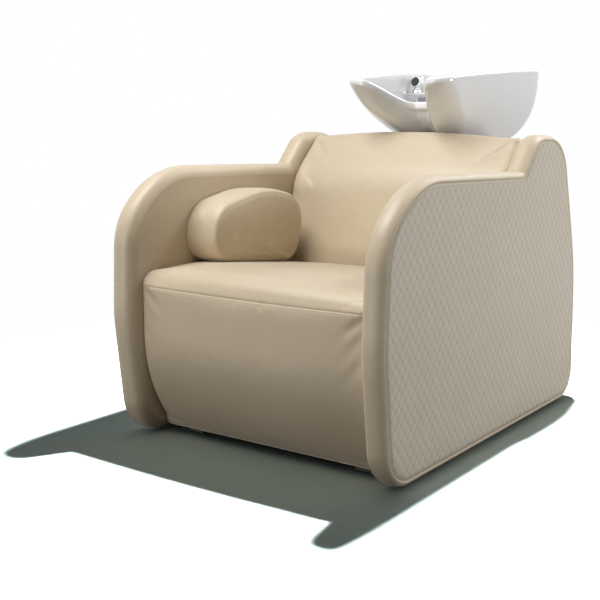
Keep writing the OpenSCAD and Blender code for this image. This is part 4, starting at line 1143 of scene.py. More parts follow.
@dataclass
class SidePanel:
    """A side panel: the padded band that runs round it and the quilted cover on its outside.

    Attributes:
        side: The side it is on.
        board_inset: Distance from the seam to the band's end on the plywood core.
        corners: The seam between band and quilt, as y, z and radius.
        section: The band's section, as distance from the inner face and distance outside the seam.
        seam_share: Where the seam is on the section, counted in its points.
        stitch_share: The same for the stitches on the band.
        diamond: Width and height of a quilted diamond.
        cuts: Faces along the side of a diamond.
        quilt_depth: Depth of the sewn lines.
        plumpness: Power of a diamond's puff. A lower one is flatter on top.
        edge_drop: How far the quilt's edge turns down towards the seam.
        fade_width: Width along the edge in which the diamonds fade out.
    """

    side: Side
    finishes: Finishes
    inner_x: float = 360.0
    outer_x: float = 430.0
    quilt_x: float = 408.0
    board_x: float = 390.0
    board_inset: float = 45.0
    corners: tuple[Corner, ...] = (
        (53, 23, 100), (1156, 23, 72), (1134, 430, 700), (1014, 806, 125), (838, 812, 85),
        (746, 712, 32), (159, 729, 254), (27, 597, 168), (15.3, 345, 600),
    )
    section: tuple[tuple[float, float], ...] = (
        (0, -60), (0, -30), (0, -16), (4, -2), (12, 10), (24, 15.5), (40, 17), (54, 14), (64, 8), (67.2, 4),
        (65.5, -1),
    )
    seam_share: float = 8.55
    swells: tuple[Swell, ...] = ((1.1, 190, 3.1), (0.35, 46, 8.7))
    sewn: SewnLine = SewnLine(0.9, 2.2, pucker=0.45, pitch=17, drift=2.5, drift_wave=90, spread=9)
    stitch_share: float = 7.75
    stitch_inset: float = 8.0
    diamond: tuple[float, float] = (30.0, 38.0)
    cuts: int = 6
    quilt_depth: float = 0.9
    plumpness: float = 0.45
    seam_gap: float = 1.3
    edge_drop: float = 5.0
    edge_width: float = 13.0
    fade_width: float = 9.0
    seam: Array = field(init=False)
    band_skin: Skin = field(init=False)

    def __post_init__(self) -> None:
        """Lays out the seam."""
        self.seam = spaced(rounded(self.corners), 5.0)

    def place(self, points: Array) -> Array:
        """Brings points of the right panel to this side."""
        return points * np.array([float(self.side.value), 1.0, 1.0])

    def ring(self, x: float, out: float) -> Array:
        """The seam's outline moved outwards, at a distance from the inner face."""
        return at_x(self.inner_x + x, grown(self.seam, out))

    def band(self) -> Piece:
        """Builds the padded band with the panel's inner face.

        Returns:
            The piece.
        """
        section = np.array(self.section, float)
        steps = steps_of(len(section), 0.25)
        line = curved(section, steps)
        line[:, 0] = np.maximum(line[:, 0], 0.0)
        rings = np.array([self.ring(x, out) for x, out in line])
        from_inside = line[:, :1]
        free = smooth((from_inside - 2) / 14) * smooth((66 - from_inside) / 8)
        from_seam = np.abs(steps - self.seam_share)[:, None] * 10
        relief = self.sewn.relief(from_seam, reach_along(self.seam)[None, :])
        shift = free * swollen(rings, self.swells) + relief * smooth((from_inside - 30) / 20)
        self.band_skin = Skin(rings).raised(shift)
        wall = [
            self.ring(self.quilt_x - self.inner_x, -1.0),
            self.ring(self.quilt_x - self.inner_x, -self.board_inset),
            self.ring(self.board_x - self.inner_x, -self.board_inset),
        ]
        skin = Skin(np.concatenate([self.band_skin.points, wall]))
        if self.side is Side.LEFT:
            skin = skin.mirrored()
        piece = skin.build(f"arm_band_{self.side.word}")
        smooth_shaded(piece, 50)
        dress(piece, self.finishes.vinyl)
        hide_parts(f"side_pad_{self.side.word}")
        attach(piece, "chair")
        return piece

    def quilt(self) -> Piece:
        """Builds the quilted cover from a lattice of puffed diamonds.

        Returns:
            The piece.
        """
        seam = grown(self.seam, -self.seam_gap)
        low, high = seam.min(axis=0), seam.max(axis=0)
        middle = (low + high) / 2
        wide, tall = self.diamond
        steps = np.array([[wide / 2, tall / 2], [-wide / 2, tall / 2]]) / self.cuts
        box = np.array([[y, z] for y in (low[0], high[0]) for z in (low[1], high[1])]) - middle
        numbers = box @ np.linalg.inv(steps)
        first = np.floor(numbers.min(axis=0)).astype(int) - 1
        last = np.ceil(numbers.max(axis=0)).astype(int) + 1
        u, v = np.meshgrid(*(np.arange(a, b + 1) for a, b in zip(first, last)), indexing="ij")
        spots = middle + u[..., None] * steps[0] + v[..., None] * steps[1]
        within = inside(spots.reshape(-1, 2), seam).reshape(u.shape)
        edge = spaced(seam, 1.0)
        tree = kdtree.KDTree(len(edge))
        for number, spot in enumerate(edge):
            tree.insert((spot[0], spot[1], 0.0), number)
        tree.balance()
        cell = within[:-1, :-1] | within[1:, :-1] | within[1:, 1:] | within[:-1, 1:]
        used = np.zeros(u.shape, bool)
        for a, b in ((0, 0), (1, 0), (1, 1), (0, 1)):
            used[a:a + cell.shape[0], b:b + cell.shape[1]] |= cell
        depth = np.zeros(u.shape)
        for i, j in zip(*np.nonzero(used)):
            _, nearest, distance = tree.find((spots[i, j, 0], spots[i, j, 1], 0.0))
            if within[i, j]:
                depth[i, j] = distance
            else:
                spots[i, j] = edge[nearest]
        across, up = (np.sin(np.pi * (n % self.cuts) / self.cuts) for n in (u, v))
        valley = (1 - (across * up) ** self.plumpness) * smooth(depth / self.fade_width)
        rim = self.edge_drop * (1 - np.clip(depth / self.edge_width, 0, 1)) ** 2
        x = self.outer_x - rim - self.quilt_depth * valley
        number = np.full(u.shape, -1)
        number[used] = np.arange(used.sum())
        points = np.column_stack([x[used], spots[used]])
        i, j = np.nonzero(cell)
        faces = np.column_stack([number[i, j], number[i + 1, j], number[i + 1, j + 1], number[i, j + 1]])
        if self.side is Side.LEFT:
            faces = faces[:, ::-1]
        piece = mesh_piece(f"arm_quilt_{self.side.word}", self.place(points), faces.tolist())
        # The diamonds' valley depth is kept on the piece, so that the quilt's material paints shade into
        # the sewn lines.
        sewn = piece.data.attributes.new("sewn", "FLOAT", "POINT")
        sewn.data.foreach_set("value", valley[used].astype(np.float32))
        self._close(piece)
        smooth_shaded(piece, 60)
        dress(piece, self.finishes.quilt)
        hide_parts(f"side_quilt_{self.side.word}")
        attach(piece, "chair")
        return piece

    def _close(self, piece: Piece) -> None:
        """Turns the quilt's edge down into the seam and closes its back."""
        with edited(piece):
            bpy.context.tool_settings.mesh_select_mode = (False, True, False)
            bpy.ops.mesh.select_all(action="DESELECT")
            bpy.ops.mesh.select_non_manifold(extend=False, use_boundary=True)
            bpy.ops.mesh.extrude_edges_move()
            mesh = bmesh.from_edit_mesh(piece.data)
            back = self.side.value * self.quilt_x * MM
            for vertex in mesh.verts:
                if vertex.select:
                    vertex.co.x = back
            bmesh.update_edit_mesh(piece.data)
            bpy.ops.mesh.edge_face_add()
        turn_outwards(piece)

    def stitches(self) -> Piece:
        """Sews the twin rows beside the seam: one on the band, one on the quilt.

        Returns:
            The piece.
        """
        at = np.array([self.stitch_share])
        on_band = curved(self.band_skin.points, at)[0], curved(self.band_skin.normals, at)[0]
        on_quilt = at_x(self.outer_x - 1.1, grown(self.seam, -self.stitch_inset))
        outwards = np.tile([1.0, 0.0, 0.0], (len(on_quilt), 1))
        rows = [
            (self.place(np.vstack([path, path[:1]])), self.place(np.vstack([out, out[:1]])))
            for path, out in (on_band, (on_quilt, outwards))
        ]
        piece = stitch_piece(f"arm_stitches_{self.side.word}", rows)
        dress(piece, self.finishes.thread)
        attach(piece, "chair")
        return piece


@dataclass
class Cushion:
    """A stuffed cushion between the side panels, crowned from side to side.

    Attributes:
        name: The piece's name.
        node: The CAD node that it stands for.
        corners: Its section, as y, z and radius.
        crown: Rise from its sides to its middle.
        edge: Radius of its side edges.
        shift: Part of the crown that the whole section is drawn in by.
        shows: Gives the share of each point of the section that is free to swell.
        sharp: Corners of the section that stay sharp.
        spacing: Distance between two points of the cover.
        crown_reach: Share of its half width in which the crown rises.
    """

    name: str
    node: str
    corners: tuple[Corner, ...]
    crown: float
    edge: float
    shift: float
    shows: Callable[[Array], Array]
    settling: Settling
    sharp: tuple[tuple[float, float], ...] = ()
    half_width: float = 359.7
    spacing: float = 9.0
    crown_reach: float = 0.88

    def stations(self) -> Array:
        """Places across the cushion, closer together on its rounded edges."""
        flat = self.half_width - self.edge
        turns = np.sin(np.radians([22.5, 45.0, 66.0, 90.0])) * self.edge + flat
        middle = np.linspace(-flat, flat, round(2 * flat / self.spacing))
        return np.concatenate([-turns[::-1], middle, turns])

    def swell_at(self, x: Array) -> Array:
        """Rise of the cover over the section at places across the cushion."""
        share = np.abs(x) / self.half_width
        crown = self.crown * np.clip(1 - (share / self.crown_reach) ** 2, 0, None) ** 1.15
        run = np.clip((np.abs(x) - (self.half_width - self.edge)) / self.edge, 0, 1)
        return crown - self.edge * (1 - np.sqrt(1 - run**2)) - self.shift

    def skin(self, quick: bool) -> Skin:
        """Builds the cover and lets it swell.

        Args:
            quick: Whether to leave out the simulation.

        Returns:
            The cover.
        """
        outline = spaced(rounded(self.corners), self.spacing, self.sharp)
        free = self.shows(outline)
        x = self.stations()
        rings = [at_x(place, grown(outline, free * swell)) for place, swell in zip(x, self.swell_at(x))]
        cover = Skin(np.array(rings))
        if quick:
            return cover
        side = smooth((self.half_width - np.abs(x)) / (0.5 * self.edge))
        held = 1 - np.outer(side > 0.35, free > 0.6).astype(float)
        settled = self.settling.swell(cover, held, f"{self.name}_cloth")
        settled.points[..., 0] = np.clip(settled.points[..., 0], -self.half_width, self.half_width)
        return settled

    def finish(self, cover: Skin, finishes: Finishes) -> Piece:
        """Makes the piece, dresses it and sets it on the frame.

        Args:
            cover: The cover.
            finishes: The unit's finishes.

        Returns:
            The piece.
        """
        piece = cover.build(self.name)
        smooth_shaded(piece, 50)
        dress(piece, finishes.vinyl)
        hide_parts(self.node)
        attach(piece, "chair")
        return piece


def seat_shows(outline: Array) -> Array:
    """The seat's cover is free in front of the plywood box and above the seat board."""
    box_front, board_top, fade = 148, 352, 30
    front = smooth((box_front - outline[:, 0]) / fade)
    top = smooth((outline[:, 1] - board_top) / fade)
    return np.minimum(1.0, front + top)


def back_shows(outline: Array) -> Array:
    """The back's cover is free away from its board, which leans back from its foot."""
    board_y, foot_z, lean, clear = 742, 412, 65, 12
    board = board_y + (outline[:, 1] - foot_z) / math.tan(math.radians(lean))
    return smooth((board - outline[:, 0] - clear) / 30) * smooth((outline[:, 1] - foot_z - clear) / 60)


SEAT = Cushion(
    name="seat_upholstery",
    node="seat_cushion",
    corners=(
        (149.7, 24, 4), (149.7, 350.3, 0), (648, 350.3, 4), (652, 436.17, 22), (241, 481, 800),
        (42, 478, 50), (43, 165, 420), (142, 24, 24),
    ),
    sharp=((149.7, 350.3),),
    crown=9.0,
    edge=15.0,
    shift=4.5,
    shows=seat_shows,
    settling=Settling(cap=4.5),
)
BACK = Cushion(
    name="back_upholstery",
    node="back_cushion",
    corners=((658, 412, 16), (741.7, 412, 4), (916.1, 786, 12), (884, 838, 30), (742, 700, 190)),
    crown=14.0,
    edge=20.0,
    shift=0.0,
    shows=back_shows,
    settling=Settling(cap=3.0),
)
BACK_SWELLS: tuple[Swell, ...] = ((0.4, 160, 4.4),)


@dataclass
class SeatSeam:
    """The sewn channel across the front of the seat, with a row of stitches on each side.

    Attributes:
        spot: Where the seam crosses the seat's section, as y and z.
        sewn: The relief beside the seam.
        roll: Height of the soft roll on each side of the channel.
        apart: Distance from the seam to each row of stitches.
        reach: Half length of the seam.
    """

    spot: tuple[float, float] = (42.0, 425.0)
    sewn: SewnLine = SewnLine(
        1.1, 2.2, pucker=0.5, pitch=19, drift=3.0, drift_wave=70, spread=11, ripple=0.5
    )
    roll: float = 0.45
    apart: float = 4.5
    reach: float = 346.0
    swells: tuple[Swell, ...] = ((0.9, 170, 1.3), (0.3, 50, 5.9))

    def sew(self, cover: Skin) -> tuple[Skin, list[tuple[Array, Array]]]:
        """Sews the seam into the seat's cover.

        Args:
            cover: The cover.

        Returns:
            The sewn cover, and the lines and normals for the stitches.
        """
        rings, places = cover.points.shape[:2]
        middle = cover.points[rings // 2]
        here = int(np.argmin(np.linalg.norm(middle[:, 1:] - np.array(self.spot), axis=1)))
        beside = np.arange(here - 3, here + 3, 1 / 8)
        away = np.arange(here + 3, here - 3 + places, 1 / 2)
        fine = cover.finer(steps_of(rings, 0.5), np.concatenate([beside, away]) % places)
        middle = fine.points[fine.points.shape[0] // 2]
        lines = reach_along(middle)
        seam_at = lines[np.argmin(np.abs(beside - here))]
        distance = np.abs(lines - seam_at)[None, :]
        x = fine.points[:, :1, 0]
        within = smooth((self.reach + 8 - np.abs(x)) / 16)
        relief = self.sewn.relief(distance, x) + self.roll * near(distance - 9, 6)
        swell = swollen(fine.points, self.swells) * seat_shows(middle[:, 1:])[None, :]
        sewn = fine.raised(within * relief + swell * smooth((359 - np.abs(x)) / 25))
        rows = []
        for sign in (-1, 1):
            place = int(np.argmin(np.abs(lines - (seam_at + sign * self.apart))))
            inside_reach = np.abs(sewn.points[:, place, 0]) < self.reach
            rows.append((sewn.points[inside_reach, place], sewn.normals[inside_reach, place]))
        return sewn, rows


@dataclass
class ArmPad:
    """A round pad on the inside of an arm, which stands on the seat.

    Attributes:
        side: The side it is on.
        corners: Its outline at its widest, as y, z and radius.
        section: Distance from the arm's face, and how far the outline is moved outwards there.
        core: Ends of the line that its face closes on, as y and z.
        closing: Rings that close the face, as share of the way to the core and rise.
        seam_out: Distance from the arm's face to the seam round the pad's own face.
    """

    side: Side
    finishes: Finishes
    face_x: float = 359.7
    corners: tuple[Corner, ...] = (
        (233, 481.8, 68), (622, 441.16, 66), (682, 634, 96), (470, 680, 400), (237, 632, 98),
    )
    section: tuple[tuple[float, float], ...] = (
        (0, -34), (0, -16), (0, -4), (5, 0), (30, 2), (55, 3), (80, 2.4), (98, -1.5), (106, -8),
        (110.5, -20), (113, -34), (115, -48), (116, -58),
    )
    core: tuple[tuple[float, float], ...] = ((318.0, 560.0), (596.0, 540.0))
    closing: tuple[tuple[float, float], ...] = ((0.25, 0.5), (0.5, 0.9), (0.72, 1.1), (0.88, 1.2))
    seam_out: float = 107.0
    sewn: SewnLine = SewnLine(0.7, 3.0, pucker=0.12, pitch=15, drift=2, drift_wave=60, spread=10)
    swells: tuple[Swell, ...] = ((0.3, 110, 7.7),)
    settling: Settling = field(default_factory=lambda: Settling(cap=2.0))

    def cover(self, quick: bool) -> Skin:
        """Builds the right pad's cover, with rings that run from its face to the arm.

        Args:
            quick: Whether to leave out the simulation.

        Returns:
            The cover.
        """
        outline = spaced(rounded(self.corners), 7.0)
        section = np.array(self.section, float)
        line = curved(section, steps_of(len(section), 0.5))
        line[:, 0] = np.maximum(line[:, 0], 0)
        rings = [at_x(self.face_x - out_x, grown(outline, out)) for out_x, out in line]
        start, end = (np.array(c) for c in self.core)
        edge_x, edge = rings[-1][0, 0], rings[-1][:, 1:]
        share = np.clip((edge - start) @ (end - start) / np.sum((end - start) ** 2), 0, 1)
        centre = start + share[:, None] * (end - start)
        rings += [at_x(edge_x - rise, edge + (centre - edge) * way) for way, rise in self.closing]
        cover = Skin(np.array(rings[::-1]))
        if quick:
            return cover
        from_arm = self.face_x - cover.points[..., 0]
        seat_y, seat_z, seat_lean, close = 291, 480, 7, 4
        seat_line = seat_z - (cover.points[..., 1] - seat_y) * math.tan(math.radians(seat_lean))
        rests = cover.points[..., 2] < seat_line + close
        held = np.where((from_arm < close) | rests, 1.0, 0.0)
        return self.settling.swell(cover, held, "arm_pad_cloth")

    def build(self, cover: Skin) -> Piece:
        """Makes the piece with the soft edge seam round its face.

        Args:
            cover: The right pad's cover.

        Returns:
            The piece.
        """
        fine = cover.halved()
        middle = fine.points[:, cover.points.shape[1] // 2]
        lines = reach_along(middle)
        from_face = np.abs(middle[: len(middle) * 2 // 3, 0] - (self.face_x - self.seam_out))
        seam = int(np.argmin(from_face))
        distance = np.abs(lines - lines[seam])[:, None]
        relief = self.sewn.relief(distance, reach_along(fine.points[seam])[None, :])
        free = smooth((self.face_x - fine.points[..., 0] - 4) / 12)
        above = smooth((fine.points[..., 2] - 446) / 40)
        fine = fine.raised((relief + swollen(fine.points, self.swells) * above) * free)
        if self.side is Side.LEFT:
            fine = fine.mirrored()
        piece = fine.build(f"arm_bolster_{self.side.word}")
        smooth_shaded(piece, 50)
        dress(piece, self.finishes.vinyl)
        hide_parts(f"arm_pad_{self.side.word}")
        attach(piece, "chair")
        return piece


# The basin


@dataclass(frozen=True)
class Plan:
    """A level outline of the basin, the same on both sides, with a notch for the neck in its front.

    Attributes:
        front_half: Half width at the front, as rear_half is at the rear.
        front_corner: Radius of the front corners, as rear_corner is of the rear ones.
        neck_y: Place of the notch's deepest point.
        neck_half: Half width of the notch.
        neck_flat: Half of its straight middle.
        neck_low: Half of its lowest stretch.
    """

    front_half: float
    rear_half: float
    front_y: float
    rear_y: float
    front_corner: float
    rear_corner: float
    neck_y: float
    neck_half: float
    neck_flat: float = 12.0
    neck_low: float = 28.0

    def half(self) -> Array:
        """The right half, from the middle of the front to the middle of the rear."""
        points: list[Corner] = []
        for k in range(25):
            x = self.neck_half * k / 24
            out = float(smooth((x - self.neck_flat) / (self.neck_half - self.neck_flat)))
            drop = 1 - float(smooth((x - self.neck_low) / (self.neck_half - self.neck_low)))
            points.append((x, self.neck_y + (self.front_y - self.neck_y) * out, drop))
        start = np.array([self.front_half, self.front_y + self.front_corner])
        end = np.array([self.rear_half, self.rear_y - self.rear_corner])
        quarter = np.radians(np.linspace(0, 90, 13))
        front = start + self.front_corner * np.column_stack([np.sin(quarter) - 1, -np.cos(quarter)])
        side = start + (end - start) * np.arange(1, 10)[:, None] / 10
        rear = end + self.rear_corner * np.column_stack([np.cos(quarter) - 1, np.sin(quarter)])
        back = np.array([((end[0] - self.rear_corner) * (1 - k / 6), self.rear_y) for k in range(1, 7)])
        level = np.vstack([front, side, rear, back])
        return np.vstack([points, np.column_stack([level, np.zeros(len(level))])])

    def points(self) -> Array:
        """Both halves, as x, y and share of the notch's drop."""
        half = self.half()
        return np.vstack([half, half[-2:0:-1] * np.array([-1.0, 1.0, 1.0])])

    def ring(self, z: float) -> Array:
        """The outline at one height."""
        plan = self.points()
        return np.column_stack([plan[:, :2], np.full(len(plan), z)])


@dataclass
class Basin:
    """The ceramic basin: a wide bowl with a neck rest, a rolled lip and a ledge for the taps.

    The first sizes are the rim's, and those named turn belong to the ring that draws the wall out.

    Attributes:
        corners: Radius of the rim's front and rear corners.
        under_reach: How far the flat underside reaches to the front and to the rear of the drain.
        tilt_y: Place of the drain and of the tilt bolts.
        turn_up: Height of the turn over the underside, at the front and at the rear.
        lip_over: How far the lip overhangs the wall round the neck.
        lip: Section of the rolled lip, as distance drawn in and distance below the rim's line.
        lip_depth: Depth of the lip round the neck.
        lobe_depth: Depth of the lip elsewhere.
        hollow_wall: Thickness of the wall round the hollow for the hoses.
        holes: The tap holes, as x, y and width.
    """

    front_half: float = 178.0
    rear_half: float = 224.0
    front_y: float = 752.0
    rear_y: float = 1335.0
    corners: tuple[float, float] = (52.0, 62.0)
    front_z: float = 988.0
    rear_z: float = 1022.0
    neck_z: float = 921.0
    neck_y: float = 915.0
    neck_half: float = 115.0
    bottom_z: float = 772.0
    under_reach: tuple[float, float] = (65.0, 77.0)
    ledge_z: float = 954.0
    ledge_t: float = 16.0
    ledge_y: float = 1188.0
    tilt_y: float = 1105.0
    floor_t: float = 18.0
    drain_d: float = 50.0
    turn_half: float = 182.0
    turn_corner: float = 95.0
    turn_y: float = 822.0
    turn_neck_y: float = 932.0
    turn_up: tuple[float, float] = (94.0, 18.0)
    wall_t: float = 26.0
    wall_rings: int = 26
    lip_over: float = 10.0
    lip: tuple[tuple[float, float], ...] = (
        (0, 18), (-0.3, 11), (0.6, 5), (3, 1.5), (8, 0), (13, 1.5), (17, 7),
    )
    lip_depth: float = 27.0
    lobe_depth: float = 13.0
    hollow_wall: float = 9.0
    holes: tuple[Corner, ...] = ((96.0, 1252.0, 33.0), (-182.0, 1212.0, 28.0))

    def rim_plan(self, d: float) -> Array:
        """The rim's plan drawn in by a distance."""
        front, rear = self.corners
        return Plan(
            front_half=self.front_half - d, rear_half=self.rear_half - d * 0.7,
            front_y=self.front_y + d, rear_y=self.rear_y - d,
            front_corner=front - d, rear_corner=rear - d,
            neck_y=self.neck_y + d, neck_half=self.neck_half + d * 0.5,
        ).points()

    def rim_z(self, plan: Array) -> Array:
        """Height of the rim's line at the points of a plan."""
        t = np.clip((plan[:, 1] - self.front_y) / (self.rear_y - self.front_y), 0, 1)
        line = self.front_z + (self.rear_z - self.front_z) * (1 - (1 - t) ** 1.5)
        return line + (self.neck_z - line) * plan[:, 2]

    def notch_share(self) -> Array:
        """How far each place of the rim belongs to the neck's notch, where the lip is thick."""
        plan = self.rim_plan(0)
        beside = smooth((self.neck_half + 45 - np.abs(plan[:, 0])) / 60)
        return beside * (1 - smooth((plan[:, 1] - self.front_y - 170) / 40))

    def rim_ring(self, d: float, down: float | Array) -> Array:
        """A ring that follows the rim, drawn in and lowered."""
        plan = self.rim_plan(d)
        return np.column_stack([plan[:, :2], self.rim_z(plan) - down])

    def lip_under(self) -> Array:
        """The ring under the rolled lip, which overhangs the wall round the neck."""
        plan = self.rim_plan(0)
        notch = self.notch_share()
        away = plan[:, :2] - np.array([0.0, 1060.0])
        away = away / np.linalg.norm(away, axis=1, keepdims=True)
        place = plan[:, :2] - away * self.lip_over * notch[:, None]
        depth = self.lobe_depth + (self.lip_depth - self.lobe_depth) * notch
        return np.column_stack([place, self.rim_z(plan) - depth])

    def under_ring(self, w: float, z: float) -> Array:
        """The edge of the flat underside, drawn in by a distance."""
        front, rear = self.tilt_y - self.under_reach[0], self.tilt_y + self.under_reach[1]
        return Plan(
            front_half=66 - w, rear_half=84 - w, front_y=front + w, rear_y=rear - w,
            front_corner=34 - w, rear_corner=50 - w, neck_y=front + 2 + w, neck_half=30 - w,
        ).ring(z)

    def floor_ring(self) -> Array:
        """The edge of the bowl's flat floor."""
        front, rear = self.tilt_y - self.under_reach[0], self.tilt_y + self.under_reach[1]
        return Plan(
            front_half=52, rear_half=64, front_y=front + 20, rear_y=rear - 24,
            front_corner=24, rear_corner=36, neck_y=front + 22, neck_half=26,
        ).ring(self.bottom_z + self.floor_t)

    def turn_ring(self, w: float, up: float) -> Array:
        """The ring that draws the wall's curve out, rounder than the rim and higher at the front."""
        ring = Plan(
            front_half=self.turn_half - w, rear_half=self.rear_half - w,
            front_y=self.turn_y + w, rear_y=self.rear_y - w,
            front_corner=self.turn_corner - w, rear_corner=self.corners[1] - w,
            neck_y=self.turn_neck_y + w, neck_half=self.turn_half - self.turn_corner,
        ).ring(self.bottom_z + up)
        high, low = self.turn_up
        ring[:, 2] += high + (low - high) * smooth((ring[:, 1] - self.turn_y) / 300)
        return ring

    def wall(self, start: Array, turn: Array, end: Array, count: int) -> list[Array]:
        """Rings of a wall, on the curve from one ring to another that the turn draws out."""
        shares = [float(s) for s in np.linspace(0, 1, count)]
        return [start * (1 - s) ** 2 + turn * 2 * s * (1 - s) + end * s**2 for s in shares]

    def outer_rings(self) -> list[Array]:
        """The rings of the outer wall and of the lip, from the underside up."""
        outer, under = self.lip_under(), self.under_ring(0, self.bottom_z)
        rings = self.wall(outer, self.turn_ring(0, 0), under, self.wall_rings)[::-1]
        thin = 0.55 + 0.45 * self.notch_share()
        first = self.rim_ring(0, self.lip[0][1] * thin)
        rings.append(outer + (first - outer) * (0.7, 0.7, 0.2))
        lip = curved(np.array(self.lip, float), steps_of(len(self.lip), 0.25))
        highest = int(np.argmin(lip[:, 1]))
        for k, (d, down) in enumerate(lip):
            rings.append(self.rim_ring(d, down * (thin if k < highest else 1)))
        return rings

    def inner_rings(self, lip_end: Array) -> list[Array]:
        """The rings from the lip over the ledge and down the bowl to its floor.

        Args:
            lip_end: The lip's last ring.

        Returns:
            The rings.
        """
        edge = self.rim_plan(20)
        foot = np.column_stack([edge[:, :2], np.minimum(self.ledge_z, self.rim_z(edge) - 24)])
        rings = [lip_end + (foot - lip_end) * t for t in (0.2, 0.5, 0.85, 1.0)]
        w = self.wall_t
        plan = Plan(
            front_half=self.front_half - w, rear_half=self.rear_half - w,
            front_y=self.front_y + w + 4, rear_y=self.ledge_y, front_corner=32, rear_corner=46,
            neck_y=self.neck_y + w + 4, neck_half=self.neck_half + 4,
        ).points()
        mouth = np.column_stack([plan[:, :2], np.minimum(self.ledge_z - 4, self.rim_z(plan) - 34)])
        level = mouth.copy()
        level[:, 2] = np.maximum(mouth[:, 2], np.minimum(self.ledge_z - 0.5, foot[:, 2]))
        rings += [foot + (level - foot) * t for t in (0.06, 0.3, 0.6, 0.9, 0.97)]
        floor = self.floor_ring()
        rings += self.wall(mouth, self.turn_ring(w, self.floor_t), floor, self.wall_rings)
        drain = np.array([0.0, self.tilt_y, self.bottom_z + self.floor_t])
        return rings + [floor + (drain - floor) * t for t in (0.1, 0.3)]

    def build(self, finishes: Finishes) -> Piece:
        """Raises the basin ring by ring, then cuts its hollow and its holes.

        Args:
            finishes: The unit's finishes.

        Returns:
            The piece.
        """
        outer = self.outer_rings()
        piece = raised_rings("basin_ceramic", outer + self.inner_rings(outer[-1]))
        subdivide(piece, 1)
        for cutter in self.cutters():
            cut_away(piece, cutter)
        smooth_shaded(piece, 35)
        dress(piece, finishes.ceramic)
        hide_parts("basin")
        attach(piece, "basin_unit")
        return piece

    def cutters(self) -> list[Piece]:
        """The hollow for the hoses under the ledge, its slit, the drain and the two tap holes."""
        w, low = self.hollow_wall, self.bottom_z
        over = self.rim_ring(w, self.lip_depth)
        rings = self.wall(over, self.turn_ring(w, 0), self.under_ring(w, low), 16)[::-1]
        rings.insert(0, rings[0] - np.array([0.0, 0.0, 3.0]))
        lid = over.copy()
        lid[:, 2] = self.rear_z
        hollow = raised_rings("hollow_cutter", rings + [lid])
        keep_beyond(hollow, (0, self.ledge_y + 8, 0), (0, -1, 0))
        keep_beyond(hollow, (0, 0, self.ledge_z - self.ledge_t), (0, 0, 1))
        slit = block_piece("slit_cutter", (-116, self.ledge_y + 8.4, low - 4), (116, 1222, low + 60))
        drain = drill_piece("drain_cutter", 0, self.tilt_y, low - 3, self.drain_d, self.floor_t + 6)
        foot = self.ledge_z - 30
        taps = [drill_piece("tap_cutter", x, y, foot, across, 60) for x, y, across in self.holes]
        return [hollow, slit, drain, *taps]


def raised_rings(name: str, rings: Sequence[Array]) -> Piece:
    """Raises a closed shell from a circle, extruded from ring to ring.

    Args:
        name: The piece's name.
        rings: Rings of equal length, in millimetres.

    Returns:
        The shell, closed with a face on each end.
    """
    deselect_all()
    bpy.ops.mesh.primitive_circle_add(vertices=len(rings[0]), radius=1.0, fill_type="NOTHING")
    piece = bpy.context.object
    piece.name = name
    piece.data.name = name
    bpy.ops.object.mode_set(mode="EDIT")
    bpy.context.tool_settings.mesh_select_mode = (False, True, False)
    mesh = bmesh.from_edit_mesh(piece.data)
    before = to_frame(rings[0])
    for vertex, place in zip(mesh.verts, before):
        vertex.co = place
    bpy.ops.mesh.select_all(action="SELECT")
    for ring in rings[1:]:
        bpy.ops.mesh.extrude_edges_move()
        mesh = bmesh.from_edit_mesh(piece.data)
        fresh = {rounded_place(v.co): v for v in mesh.verts if v.select}
        after = to_frame(ring)
        for old, new in zip(before, after):
            fresh[rounded_place(Vector(old))].co = new
        before = after
        bmesh.update_edit_mesh(piece.data)
    bpy.ops.mesh.edge_face_add()
    bpy.ops.mesh.select_all(action="DESELECT")
    bpy.ops.mesh.select_non_manifold(extend=False)
    bpy.ops.mesh.edge_face_add()
    bpy.ops.object.mode_set(mode="OBJECT")
    turn_outwards(piece)
    return piece


def rounded_place(place: Vector) -> Corner:
    """A place to a tenth of a micrometre, by which a point is found again."""
    return tuple(round(part, 7) for part in place)


def keep_beyond(piece: Piece, point: Corner, normal: Corner) -> None:
    """Cuts a piece along a plane, drops what lies on the normal's side and closes the cut.

    Args:
        piece: The piece.
        point: A point of the plane, in the drawing's millimetres.
        normal: The plane's normal.
    """
    with edited(piece):
        place = tuple(to_frame(np.array(point)))
        bpy.ops.mesh.bisect(plane_co=place, plane_no=normal, use_fill=True, clear_outer=True)


def block_piece(name: str, low: Corner, high: Corner) -> Piece:
    """Makes a block from its low corner to its high corner, in the drawing's millimetres."""
    a, b = to_frame(np.array(low)), to_frame(np.array(high))
    deselect_all()
    bpy.ops.mesh.primitive_cube_add(size=1.0, location=tuple((a + b) / 2), scale=tuple(b - a))
    bpy.context.object.name = name
    return bpy.context.object


def drill_piece(name: str, x: float, y: float, z: float, across: float, length: float) -> Piece:
    """Makes an upright round bar from its foot, for cutting a hole."""
    place = to_frame(np.array([x, y, z + length / 2]))
    deselect_all()
    bpy.ops.mesh.primitive_cylinder_add(
        vertices=64, radius=across / 2 * MM, depth=length * MM, location=tuple(place)
    )
    bpy.context.object.name = name
    return bpy.context.object


def cut_away(piece: Piece, cutter: Piece) -> None:
    """Cuts one piece's shape out of another and deletes the cutter."""
    modifier = piece.modifiers.new("cut", "BOOLEAN")
    modifier.operation = "DIFFERENCE"
    modifier.solver = "EXACT"
    modifier.object = cutter
    apply_modifiers(piece)
    bpy.data.objects.remove(cutter)


# Hoses


class HoseKind(Enum):
    """How a hose is made."""

    RIBBED = "ribbed"
    BRAIDED = "braided"


